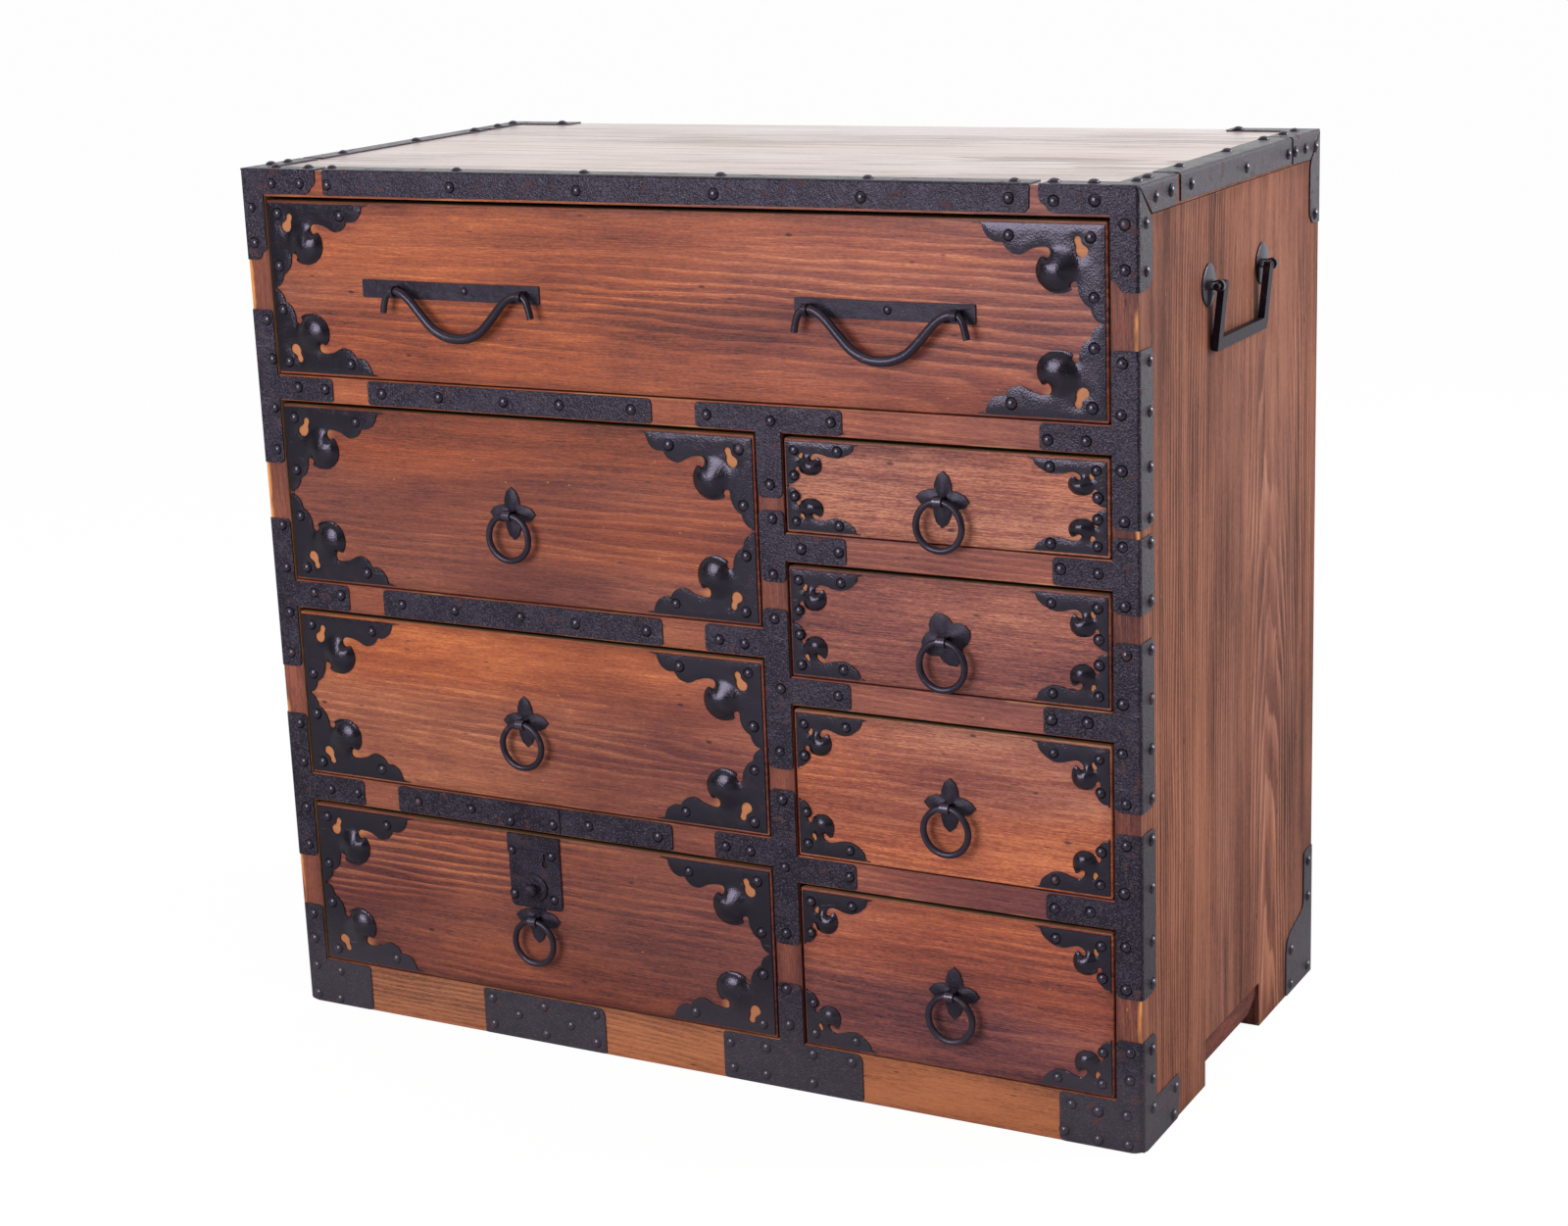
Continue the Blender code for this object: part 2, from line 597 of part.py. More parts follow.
def full_shelf(finishes):
    """Shelf under the full-width drawer, with its strap and the arms of the plates at its ends."""
    shelf = block(
        "full_shelf",
        (-INNER_X + JOINT_GAP, CASE_FRONT, STACK_TOP),
        (INNER_X - JOINT_GAP, PANEL_FRONT - JOINT_GAP, TOP_BAY_BOTTOM),
        finishes["case_wood"],
    )
    rail = Rail("full_shelf", STACK_TOP, TOP_BAY_BOTTOM)
    arm = INNER_X - ARM_LENGTH
    end = INNER_X - JOINT_GAP - PLATE_MARGIN
    rail_iron(shelf, "left_arm", -end, -arm, rail, finishes)
    rail_iron(shelf, "right_arm", arm, end, rail, finishes)
    rail_iron(shelf, "strap", LEFT_BAY_X - STRAP_LENGTH / 2, LEFT_BAY_X + STRAP_LENGTH / 2, rail, finishes)
    rail_iron(shelf, "tee", PARTITION_LEFT - PARTITION_ARM_LENGTH, PARTITION_RIGHT + PARTITION_ARM_LENGTH, rail,
              finishes)
    return shelf


def stack_shelf(rail, left, right, finishes):
    """Front rail with the thin board behind it, whose edges run in the grooves beside the bay."""
    shelf = block(
        rail.name, (left + JOINT_GAP, CASE_FRONT, rail.low), (right - JOINT_GAP, CASE_FRONT + RAIL_DEPTH, rail.high),
        finishes["case_wood"],
    )
    tongue = GROOVE_DEPTH - JOINT_GAP
    board = block(
        rail.name + "_board",
        (left - tongue, CASE_FRONT + RAIL_DEPTH, rail.high - SHELF_BOARD_THICKNESS),
        (right + tongue, PANEL_FRONT - JOINT_GAP, rail.high),
        finishes["inner_wood"], cutter=True,
    )
    lip = block(
        rail.name + "_lip",
        (left + JOINT_GAP, CASE_FRONT + RAIL_DEPTH / 2, rail.high - SHELF_BOARD_THICKNESS),
        (right - JOINT_GAP, CASE_FRONT + RAIL_DEPTH + OVERRUN, rail.high),
        finishes["inner_wood"], cutter=True,
    )
    join(shelf, lip)
    return join(shelf, board)


def left_shelf(rail, finishes):
    """Shelf between two wide drawers, with a strap and the arms that reach it from both ends."""
    shelf = stack_shelf(rail, -INNER_X, PARTITION_LEFT, finishes)
    low_end = -INNER_X + JOINT_GAP + PLATE_MARGIN
    high_end = PARTITION_LEFT - JOINT_GAP - PLATE_MARGIN
    rail_iron(shelf, "left_arm", low_end, ARM_LENGTH - INNER_X, rail, finishes)
    rail_iron(shelf, "right_arm", PARTITION_LEFT - PARTITION_ARM_LENGTH, high_end, rail, finishes)
    rail_iron(shelf, "strap", LEFT_BAY_X - STRAP_LENGTH / 2, LEFT_BAY_X + STRAP_LENGTH / 2, rail, finishes)
    return shelf


def right_shelf(index, rail, finishes):
    """Shelf between two narrow drawers, with an arm at each end."""
    shelf = stack_shelf(rail, PARTITION_RIGHT, INNER_X, finishes)
    low_end = PARTITION_RIGHT + JOINT_GAP + PLATE_MARGIN
    high_end = INNER_X - JOINT_GAP - PLATE_MARGIN
    reach = SHORT_ARM_LENGTH if index == 2 else ARM_LENGTH
    rail_iron(shelf, "left_arm", low_end, PARTITION_RIGHT + PARTITION_ARM_LENGTH, rail, finishes)
    rail_iron(shelf, "right_arm", INNER_X - reach, high_end, rail, finishes)
    return shelf


def base(finishes):
    """Front and back rails, cleats and the board that the lowest drawers run on."""
    inner = INNER_X - JOINT_GAP
    front_rail = block(
        "base_front_rail", (-inner, CASE_FRONT, 0), (inner, CASE_FRONT + BASE_RAIL_THICKNESS, STACK_BOTTOM),
        finishes["base_wood"],
    )
    rail = Rail("base", 0, STACK_BOTTOM)
    end = inner - PLATE_MARGIN
    rail_iron(front_rail, "left_corner", -end, BASE_CORNER_ARM - INNER_X, rail, finishes)
    rail_iron(front_rail, "right_corner", INNER_X - BASE_CORNER_ARM, end, rail, finishes)
    rail_iron(front_rail, "strap", LEFT_BAY_X - BASE_STRAP_LENGTH / 2, LEFT_BAY_X + BASE_STRAP_LENGTH / 2, rail,
              finishes)
    rail_iron(front_rail, "tee", PARTITION_LEFT - PARTITION_ARM_LENGTH, PARTITION_RIGHT + PARTITION_ARM_LENGTH,
              rail, finishes)

    board_low = STACK_BOTTOM - BOTTOM_BOARD_THICKNESS
    board_front = CASE_FRONT + BASE_RAIL_THICKNESS + JOINT_GAP
    board = block(
        "bottom_board",
        (-inner, board_front, board_low),
        (inner, PANEL_FRONT - JOINT_GAP, STACK_BOTTOM),
        finishes["inner_wood"],
    )
    tongue = INNER_X + GROOVE_DEPTH - JOINT_GAP
    join(board, block(
        "bottom_board_tongues",
        (-tongue, CASE_FRONT + RAIL_DEPTH, board_low),
        (tongue, PANEL_FRONT - JOINT_GAP, STACK_BOTTOM),
        finishes["inner_wood"], cutter=True,
    ))
    cleat_top = board_low - JOINT_GAP
    back_rail_front = PANEL_FRONT - JOINT_GAP - BACK_RAIL_THICKNESS
    block("base_back_rail", (-inner, back_rail_front, 0), (inner, PANEL_FRONT - JOINT_GAP, cleat_top),
          finishes["inner_wood"])
    for name, side in (("base_left_cleat", -1), ("base_right_cleat", 1)):
        left, right = side_reach(side, inner - CLEAT_THICKNESS, inner)
        block(name, (left, board_front, CLEAT_FLOOR_GAP), (right, back_rail_front - JOINT_GAP, cleat_top),
              finishes["inner_wood"])


def back_panel(finishes):
    """Thin board that closes the back between the sides."""
    inner = INNER_X - JOINT_GAP
    return block("back_panel", (-inner, PANEL_FRONT, JOINT_GAP), (inner, CASE_BACK, TOP_UNDERSIDE - JOINT_GAP),
                 finishes["inner_wood"])


def front_box(bay):
    """Lowest and highest corners of a drawer's front board."""
    low = (bay.left + DRAWER_SIDE_GAP, CASE_FRONT, bay.low + FRONT_LIFT)
    high = (bay.right - DRAWER_SIDE_GAP, CASE_FRONT + FRONT_THICKNESS, bay.high - DRAWER_TOP_GAP)
    return Vector(low), Vector(high)


def corner_size(bay):
    """Width and height of a drawer's corner plates; on a low front they shorten until they don't meet."""
    low, high = front_box(bay)
    width, height = {
        "large": (LARGE_CORNER_WIDTH, LARGE_CORNER_HEIGHT),
        "small": (SMALL_CORNER_WIDTH, SMALL_CORNER_HEIGHT),
    }[bay.corners]
    room = (high.z - low.z - CORNER_CLEARANCE) / 2 - CORNER_MARGIN
    return width, min(height, room)


def corner_places(bay):
    """The four corners of a drawer's plates: x, z and the ways that lead inwards from there."""
    low, high = front_box(bay)
    for x, inward_x in ((low.x + CORNER_MARGIN, 1), (high.x - CORNER_MARGIN, -1)):
        for z, inward_z in ((low.z + CORNER_MARGIN, 1), (high.z - CORNER_MARGIN, -1)):
            yield x, z, inward_x, inward_z


def corner_plates(bay, finishes):
    """The four cut-out corner plates of a drawer front, as one cutter."""
    width, height = corner_size(bay)
    shapes = {"large": (LARGE_CORNER_SHARES, LARGE_CUTOUT_SHARES), "small": (SMALL_CORNER_SHARES,)}[bay.corners]
    outlines = [
        [(x + inward_x * u * width, z + inward_z * v * height) for u, v in shape]
        for x, z, inward_x, inward_z in corner_places(bay)
        for shape in shapes
    ]
    depth = PLATE_THICKNESS + PLATE_SINK
    middle = CASE_FRONT - PLATE_THICKNESS + depth / 2
    return flat_plate(bay.name + "_corner_plates", outlines, depth, (0, middle, 0), finishes["iron"], cutter=True)


def corner_bosses(bay, finishes):
    """The raised round bosses beaten into the four corner plates, as one cutter."""
    width, height = corner_size(bay)
    across, along, size = {"large": LARGE_BOSS_SHARES, "small": SMALL_BOSS_SHARES}[bay.corners]
    shape = bmesh.new()
    for x, z, inward_x, inward_z in corner_places(bay):
        place = Vector((x + inward_x * across * width, CASE_FRONT - PLATE_THICKNESS, z + inward_z * along * height))
        room = height * width / LARGE_CORNER_HEIGHT if bay.corners == "large" else width
        radius = size * min(width, room)
        squash = Matrix.Diagonal((radius, BOSS_HEIGHT, radius, 1))
        upright = Matrix.Rotation(math.pi / 2, 4, "X")
        bmesh.ops.create_uvsphere(
            shape, u_segments=BOSS_SIDES, v_segments=BOSS_BANDS, radius=1,
            matrix=Matrix.Translation(place) @ squash @ upright,
        )
    return piece_from_bmesh(bay.name + "_bosses", shape, finishes["iron"], cutter=True)


def chamfered_board(name, low, high, material):
    """Board whose front edges are chamfered all round."""
    board = block(name, low, high, material)
    shape = bmesh.new()
    shape.from_mesh(board.data)
    front = [edge for edge in shape.edges if all(vert.co.y < 0 for vert in edge.verts)]
    bmesh.ops.bevel(shape, geom=front, offset=FRONT_CHAMFER, segments=1, profile=0.5, affect="EDGES", material=-1)
    shape.to_mesh(board.data)
    shape.free()
    return board


def tray(bay, finishes):
    """Open box behind a drawer's front: two sides, a back and a bottom."""
    low, high = front_box(bay)
    start = high.y + JOINT_GAP
    end = PANEL_FRONT - JOINT_GAP - TRAY_BACK_ROOM
    floor = bay.low + DRAWER_FLOOR_GAP
    rim = high.z - TRAY_TOP_DROP
    box = block(bay.name + "_tray", (low.x, start, floor), (high.x, end, rim), finishes["inner_wood"])
    hollow = block(
        bay.name + "_hollow",
        (low.x + TRAY_WALL, start - OVERRUN, floor + TRAY_BOTTOM),
        (high.x - TRAY_WALL, end - TRAY_WALL, rim + OVERRUN),
        finishes["inner_wood"], cutter=True,
    )
    return cut(box, hollow)


def leaf_outline(x, z, turn):
    """Outline of the four pointed petals round a point."""
    steps = LEAF_PETALS * len(LEAF_OUTLINE_SHARES)
    outline = []
    for index in range(steps):
        angle = 2 * math.pi * index / steps + math.radians(turn)
        radius = LEAF_RADIUS * LEAF_OUTLINE_SHARES[index % len(LEAF_OUTLINE_SHARES)]
        outline.append((x + radius * math.cos(angle), z + radius * math.sin(angle)))
    return outline


def eye_with_post(plate, label, seat, out, hole_axis, stand_off, pin_radius, finishes):
    """Round eye for a pin, on a post joined to a plate; out leads from the seat, a point on the plate."""
    seat, out = Vector(seat), Vector(out)
    centre = seat + out * stand_off
    eye_radius = pin_radius + EYE_CLEARANCE + EYE_WIRE_RADIUS
    turn = {"X": (0, math.pi / 2), "Y": (math.pi / 2, 0)}[hole_axis]
    eye = torus(f"{plate.name}_{label}_eye", eye_radius, EYE_WIRE_RADIUS, EYE_SEGMENTS, EYE_SIDES, centre, turn,
                finishes["iron"], cutter=True)
    root = seat - out * PLATE_SINK
    head = centre - out * eye_radius
    join(plate, rod(f"{plate.name}_{label}_post", POST_RADIUS, root, head, POST_SIDES, finishes["iron"],
                    cutter=True))
    return join(plate, eye)


def ring_place(bay):
    """Point that a drawer's ring turns about: the middle of its eye."""
    low, high = front_box(bay)
    return Vector((
        (bay.left + bay.right) / 2,
        CASE_FRONT - SEAT_GAP - LEAF_THICKNESS - RING_STAND_OFF,
        (bay.low + bay.high) / 2 - RING_DROP,
    ))


def ring_pull(bay, finishes):
    """Leaf plate with its eye, and the ring that hangs in the eye."""
    stem = bay.name.removesuffix("_drawer")
    pivot = ring_place(bay)
    face = CASE_FRONT - SEAT_GAP - LEAF_THICKNESS
    plate = flat_plate(
        stem + "_ring_plate", [leaf_outline(pivot.x, pivot.z, bay.leaf_turn)], LEAF_THICKNESS,
        (0, face + LEAF_THICKNESS / 2, 0), finishes["iron"],
    )
    if bay.name == LOCKED_DRAWER:
        lock_low = lock_corners(bay)[0]
        trim = block(
            stem + "_leaf_trim",
            (pivot.x - LOCK_WIDTH, face - OVERRUN, lock_low.z - JOINT_GAP),
            (pivot.x + LOCK_WIDTH, CASE_FRONT + OVERRUN, lock_low.z + LOCK_HEIGHT),
            finishes["iron"], cutter=True,
        )
        cut(plate, trim)
    eye_with_post(plate, "ring", (pivot.x, face, pivot.z), (0, -1, 0), "X", RING_STAND_OFF, RING_WIRE_RADIUS,
                  finishes)
    ring = torus(stem + "_ring", RING_RADIUS, RING_WIRE_RADIUS, RING_SEGMENTS, RING_SIDES, pivot,
                 (math.pi / 2, 0), finishes["iron"])
    ring.data.transform(Matrix.Translation((0, 0, -RING_RADIUS)))
    return plate, ring


def smooth_path(points, steps):
    """Points on a smooth curve that passes through the given ones."""
    path = []
    for index in range(len(points) - 1):
        before = points[max(index - 1, 0)]
        start, end = points[index], points[index + 1]
        after = points[min(index + 2, len(points) - 1)]
        for step in range(steps):
            t = step / steps
            path.append(
                start + (end - before) * t / 2
                + (before * 2 - start * 5 + end * 4 - after) * t * t / 2
                + (start * 3 - end * 3 + after - before) * t * t * t / 2
            )
    return path + [points[-1]]


def bail_path():
    """Centre line of a bail in its own frame, with the thickness at each point as a share of the middle's."""
    half = BAIL_SPACING / 2
    left = [Vector((-half - BAIL_CURL_SPREAD * u, 0, -BAIL_CURL_LENGTH * v)) for u, v in BAIL_CURL_SHARES]
    left += [Vector((-half * u, 0, -BAIL_DROP * v)) for u, v in BAIL_PATH_SHARES]
    right = [Vector((-point.x, 0, point.z)) for point in reversed(left[:-1])]
    path = smooth_path(left + right, BAIL_STEPS)
    swell = [BAIL_END_SHARE + (1 - BAIL_END_SHARE) * max(0, 1 - abs(point.x) / half) ** BAIL_TAPER_POWER
             for point in path]
    return path, swell


def bail(name, pivot, finishes):
    """Drooping bail whose ends pass through two eyes and curl down outside them."""
    path, swell = bail_path()
    curve = bpy.data.curves.new(name, "CURVE")
    curve.dimensions = "3D"
    curve.bevel_depth = BAIL_RADIUS
    curve.bevel_resolution = 2
    curve.use_fill_caps = True
    spline = curve.splines.new("POLY")
    spline.points.add(len(path) - 1)
    for point, place, share in zip(spline.points, path, swell):
        point.co = (*place, 1)
        point.radius = share
    curve.materials.append(finishes["iron"])
    piece = bpy.data.objects.new(name, curve)
    piece.location = pivot
    parts.objects.link(piece)
    return piece


def bail_place(bay, side):
    """Middle of the axis that a bail of the full-width drawer turns about."""
    low, high = front_box(bay)
    return Vector((
        low.x + LEFT_BAIL_FROM_END if side < 0 else high.x - RIGHT_BAIL_FROM_END,
        CASE_FRONT - SEAT_GAP - BAIL_STRIP_THICKNESS - BAIL_STAND_OFF,
        (low.z + high.z) / 2 + BAIL_RAISE,
    ))


def bail_pull(bay, stem, side, finishes):
    """Strip with two eyes on the full-width drawer, and the bail that hangs in them."""
    pivot = bail_place(bay, side)
    face = CASE_FRONT - SEAT_GAP - BAIL_STRIP_THICKNESS
    tail = LEFT_STRIP_TAIL if side < 0 else BAIL_STRIP_OVERHANG
    start, end = pivot.x - BAIL_SPACING / 2 - tail, pivot.x + BAIL_SPACING / 2 + BAIL_STRIP_OVERHANG
    half = BAIL_STRIP_HEIGHT / 2
    strip = block(
        stem + "_strip", (start, face, pivot.z - half), (end, face + BAIL_STRIP_THICKNESS, pivot.z + half),
        finishes["iron"],
    )
    for end in (-1, 1):
        seat = (pivot.x + end * BAIL_SPACING / 2, face, pivot.z)
        eye_with_post(strip, f"end_{end}", seat, (0, -1, 0), "X", BAIL_STAND_OFF,
                      BAIL_RADIUS * BAIL_END_SHARE, finishes)
    return strip, bail(stem, pivot, finishes)


def side_pull_place(side):
    """Middle of the axis that a side handle turns about."""
    return Vector((
        side * (OUTER_X + SEAT_GAP + ROSETTE_THICKNESS + SIDE_STAND_OFF),
        (CASE_FRONT + CASE_BACK) / 2,
        CASE_TOP - SIDE_PULL_BELOW_TOP,
    ))


def side_pull(stem, side, finishes):
    """Square bail of flat bar on a side board, with a rosette and eye at each end."""
    pivot = side_pull_place(side)
    half_bar = SIDE_BAR_WIDTH / 2
    half_thick = SIDE_BAR_THICKNESS / 2
    leg = SIDE_BAIL_SPAN / 2
    handle = block(
        stem,
        (pivot.x - half_thick, pivot.y - leg - half_bar, pivot.z - SIDE_PULL_DROP - half_bar),
        (pivot.x + half_thick, pivot.y + leg + half_bar, pivot.z - SIDE_PULL_DROP + half_bar),
        finishes["iron"],
    )
    for end in (-1, 1):
        middle = pivot.y + end * leg
        join(handle, block(
            f"{stem}_leg_{end}",
            (pivot.x - half_thick, middle - half_bar, pivot.z - SIDE_PULL_DROP),
            (pivot.x + half_thick, middle + half_bar, pivot.z + half_thick),
            finishes["iron"], cutter=True,
        ))
        eye_y = pivot.y + end * SIDE_PULL_SPACING / 2
        join(handle, rod(
            f"{stem}_pin_{end}", SIDE_PIN_RADIUS, (pivot.x, middle, pivot.z),
            (pivot.x, eye_y + end * SIDE_PIN_REACH, pivot.z), POST_SIDES, finishes["iron"], cutter=True,
        ))
        inner_x = side * (OUTER_X + SEAT_GAP)
        rosette = rod(
            f"{stem}_rosette_{'front' if end < 0 else 'back'}", ROSETTE_RADIUS, (inner_x, eye_y, pivot.z),
            (inner_x + side * ROSETTE_THICKNESS, eye_y, pivot.z), ROSETTE_SIDES, finishes["iron"],
        )
        seat = (inner_x + side * ROSETTE_THICKNESS, eye_y, pivot.z)
        eye_with_post(rosette, "side", seat, (side, 0, 0), "Y", SIDE_STAND_OFF, SIDE_PIN_RADIUS, finishes)
    return handle


def lock_corners(bay):
    """Lowest and highest corners of the lock plate."""
    low, high = front_box(bay)
    middle = (bay.left + bay.right) / 2
    top = high.z - LOCK_EDGE_MARGIN
    face = CASE_FRONT - SEAT_GAP
    return (
        Vector((middle - LOCK_WIDTH / 2, face - LOCK_THICKNESS, top - LOCK_HEIGHT)),
        Vector((middle + LOCK_WIDTH / 2, face, top)),
    )


def knob_place(bay):
    """Point on the lock plate's face that the knob turns about."""
    low, high = lock_corners(bay)
    return Vector(((low.x + high.x) / 2, low.y, low.z + KNOB_HEIGHT))


def keyhole(bay, name, depth, finishes):
    """Cutter for a keyhole: a round hole with a slot above it."""
    low, high = lock_corners(bay)
    x = (low.x + high.x) / 2 + KEYHOLE_OFFSET
    z = low.z + KEYHOLE_HEIGHT
    start, end = low.y - OVERRUN, low.y + depth
    hole = rod(name, KEYHOLE_RADIUS, (x, start, z), (x, end, z), POST_SIDES, finishes["iron"], cutter=True)
    slot = block(name + "_slot", (x - KEYHOLE_SLOT_WIDTH / 2, start, z),
                 (x + KEYHOLE_SLOT_WIDTH / 2, end, z + KEYHOLE_SLOT_RISE), finishes["iron"], cutter=True)
    return hole, slot


def lock(bay, front, finishes):
    """Lock plate with its knob, the case behind the front and the keeper on the rail above."""
    low, high = lock_corners(bay)
    plate = block("lock_plate", low, high, finishes["iron"])
    seam = low.z + LOCK_SEAM_HEIGHT
    cut(plate, block(
        "lock_seam", (low.x - OVERRUN, low.y - OVERRUN, seam), (high.x + OVERRUN, low.y + LOCK_SEAM_DEPTH,
                                                                seam + LOCK_SEAM_DEPTH),
        finishes["iron"], cutter=True,
    ))
    pivot = knob_place(bay)
    through = FRONT_THICKNESS + LOCK_THICKNESS + SEAT_GAP + OVERRUN
    bore_radius = KNOB_SHANK_RADIUS + SHANK_CLEARANCE
    bore = rod("lock_bore", bore_radius, (pivot.x, pivot.y - OVERRUN, pivot.z),
               (pivot.x, pivot.y + through, pivot.z), KNOB_SIDES, finishes["iron"], cutter=True)
    for opening in (bore, *keyhole(bay, "lock_keyhole", through, finishes)):
        cut(plate, opening)
        cut(front, opening)

    back = CASE_FRONT + FRONT_THICKNESS
    middle = (low.x + high.x) / 2
    case_top = high.z - LOCK_CASE_DROP
    case_high_y = back + SEAT_GAP + LOCK_CASE_THICKNESS
    lock_case = block(
        "lock_case", (middle - LOCK_CASE_WIDTH / 2, back + SEAT_GAP, case_top - LOCK_CASE_HEIGHT),
        (middle + LOCK_CASE_WIDTH / 2, case_high_y, case_top), finishes["iron"],
    )
    bolt_y = back + SEAT_GAP + LOCK_CASE_THICKNESS / 2
    join(lock_case, block(
        "lock_bolt", (middle - LOCK_BOLT_WIDTH / 2, bolt_y - LOCK_BOLT_THICKNESS / 2, case_top - OVERRUN),
        (middle + LOCK_BOLT_WIDTH / 2, bolt_y + LOCK_BOLT_THICKNESS / 2, high.z), finishes["iron"], cutter=True,
    ))

    rail = LEFT_RAILS[0]
    keeper_back = CASE_FRONT - PLATE_THICKNESS - SEAT_GAP
    block(
        "lock_keeper",
        (middle - KEEPER_WIDTH / 2, keeper_back - PLATE_THICKNESS, rail.low + KEEPER_MARGIN),
        (middle + KEEPER_WIDTH / 2, keeper_back, rail.high - KEEPER_MARGIN),
        finishes["iron"],
    )
    return plate, lock_case, lock_knob(pivot, finishes)


def lock_knob(pivot, finishes):
    """Turned knob on its disc, with a shank through the plate and the front."""
    shank_end = -(FRONT_THICKNESS + LOCK_THICKNESS + SEAT_GAP) + SEAT_GAP
    disc_top = SEAT_GAP + KNOB_DISC_THICKNESS
    neck_top = SEAT_GAP + KNOB_LENGTH - KNOB_HEAD_RADIUS
    knob_top = SEAT_GAP + KNOB_LENGTH
    profile = (
        (0, knob_top),
        (KNOB_NECK_RADIUS, knob_top),
        (KNOB_HEAD_RADIUS, (knob_top * 2 + neck_top) / 3),
        (KNOB_HEAD_RADIUS, (knob_top + neck_top * 2) / 3),
        (KNOB_NECK_RADIUS, neck_top),
        (KNOB_NECK_RADIUS, disc_top),
        (KNOB_DISC_RADIUS, disc_top),
        (KNOB_DISC_RADIUS, SEAT_GAP),
        (KNOB_SHANK_RADIUS, SEAT_GAP),
        (KNOB_SHANK_RADIUS, shank_end),
        (0, shank_end),
    )
    shape = bmesh.new()
    verts = [shape.verts.new((radius, 0, height)) for radius, height in profile]
    for start, end in zip(verts, verts[1:]):
        shape.edges.new((start, end))
    knob = piece_from_bmesh("lock_knob", shape, finishes["iron"], pivot)
    knob.data.transform(Matrix.Rotation(math.pi / 2, 4, "X"))
    spin = knob.modifiers.new("turned", "SCREW")
    spin.axis = "Y"
    spin.steps = KNOB_SIDES
    spin.render_steps = KNOB_SIDES
    spin.use_merge_vertices = True
    spin.merge_threshold = WELD_DISTANCE
    spin.use_normal_flip = True
    return knob


def drawer(bay, finishes):
    """One drawer with its front, tray and pulls, carried by an empty at the middle of its front's foot."""
    low, high = front_box(bay)
    front = chamfered_board(bay.name + "_front", low, high, finishes["drawer_wood"])
    join(front, corner_plates(bay, finishes))
    join(front, corner_bosses(bay, finishes))
    pieces = [front, tray(bay, finishes)]
    if bay.name == "top_drawer":
        for stem, side in (("top_left_bail", -1), ("top_right_bail", 1)):
            pieces.extend(bail_pull(bay, stem, side, finishes))
    else:
        pieces.extend(ring_pull(bay, finishes))
    if bay.name == LOCKED_DRAWER:
        pieces.extend(lock(bay, front, finishes))
    carrier = bpy.data.objects.new(bay.name, None)
    carrier.location = ((low.x + high.x) / 2, low.y, low.z)
    parts.objects.link(carrier)
    carry(carrier, *pieces)


def build():
    """Make the whole chest."""
    start_collections()
    finishes = make_materials()
    side_board("left_side_board", -1, LEFT_RAILS, finishes)
    side_board("right_side_board", 1, RIGHT_RAILS, finishes)
    top_board(finishes)
    back_panel(finishes)
    base(finishes)
    partition(finishes)
    full_shelf(finishes)
    for rail in LEFT_RAILS:
        left_shelf(rail, finishes)
    for index, rail in enumerate(RIGHT_RAILS):
        right_shelf(index, rail, finishes)
    for bay in BAYS:
        drawer(bay, finishes)
    side_pull("left_side_handle", -1, finishes)
    side_pull("right_side_handle", 1, finishes)
    bpy.context.view_layer.update()


build()
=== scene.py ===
# %% [markdown]
# # A low chest of drawers bound with black iron
# Eight drawers of oiled softwood slide in a case of the same wood. Beaten iron plates are nailed over every corner
# and joint, and each drawer is drawn by a ring or by two bails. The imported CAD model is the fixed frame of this
# lesson: it says where each board and pull is. The cells below give the pieces the shapes and finishes that plain
# solids lack, and every piece moves with the CAD body it rides on.

# %% Load the frame
import json
import math
import random

import bmesh
import bpy
from mathutils import Matrix, Vector, kdtree, noise

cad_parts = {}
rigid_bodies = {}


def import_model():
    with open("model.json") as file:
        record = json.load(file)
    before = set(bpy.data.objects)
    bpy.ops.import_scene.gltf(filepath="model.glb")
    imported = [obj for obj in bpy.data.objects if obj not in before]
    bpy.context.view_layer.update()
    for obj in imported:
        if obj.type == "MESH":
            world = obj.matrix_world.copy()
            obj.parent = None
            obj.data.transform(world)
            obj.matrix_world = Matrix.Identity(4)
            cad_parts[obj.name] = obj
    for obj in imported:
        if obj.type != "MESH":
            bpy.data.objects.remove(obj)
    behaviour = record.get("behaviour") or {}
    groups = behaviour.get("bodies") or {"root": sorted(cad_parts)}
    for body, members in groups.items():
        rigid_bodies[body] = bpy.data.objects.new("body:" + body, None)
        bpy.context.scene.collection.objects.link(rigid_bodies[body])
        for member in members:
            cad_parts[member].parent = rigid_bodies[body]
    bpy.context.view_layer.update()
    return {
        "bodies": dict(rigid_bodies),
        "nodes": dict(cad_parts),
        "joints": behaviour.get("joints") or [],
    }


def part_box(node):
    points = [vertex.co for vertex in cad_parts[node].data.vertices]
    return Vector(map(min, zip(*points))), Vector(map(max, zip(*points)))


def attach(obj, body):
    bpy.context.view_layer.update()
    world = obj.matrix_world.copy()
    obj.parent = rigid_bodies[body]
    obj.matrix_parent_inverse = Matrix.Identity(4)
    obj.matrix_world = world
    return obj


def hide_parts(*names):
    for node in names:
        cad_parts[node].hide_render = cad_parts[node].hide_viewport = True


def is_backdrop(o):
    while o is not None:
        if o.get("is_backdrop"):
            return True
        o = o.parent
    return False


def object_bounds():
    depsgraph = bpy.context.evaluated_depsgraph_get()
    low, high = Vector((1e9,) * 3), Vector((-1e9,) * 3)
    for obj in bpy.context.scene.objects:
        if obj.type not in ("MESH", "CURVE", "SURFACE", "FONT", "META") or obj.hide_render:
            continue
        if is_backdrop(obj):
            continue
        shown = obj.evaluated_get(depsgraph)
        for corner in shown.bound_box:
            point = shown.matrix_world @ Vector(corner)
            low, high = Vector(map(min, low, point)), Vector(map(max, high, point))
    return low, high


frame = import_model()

noise.seed_set(5)  # without a seed, noise vectors follow the clock and differ from run to run

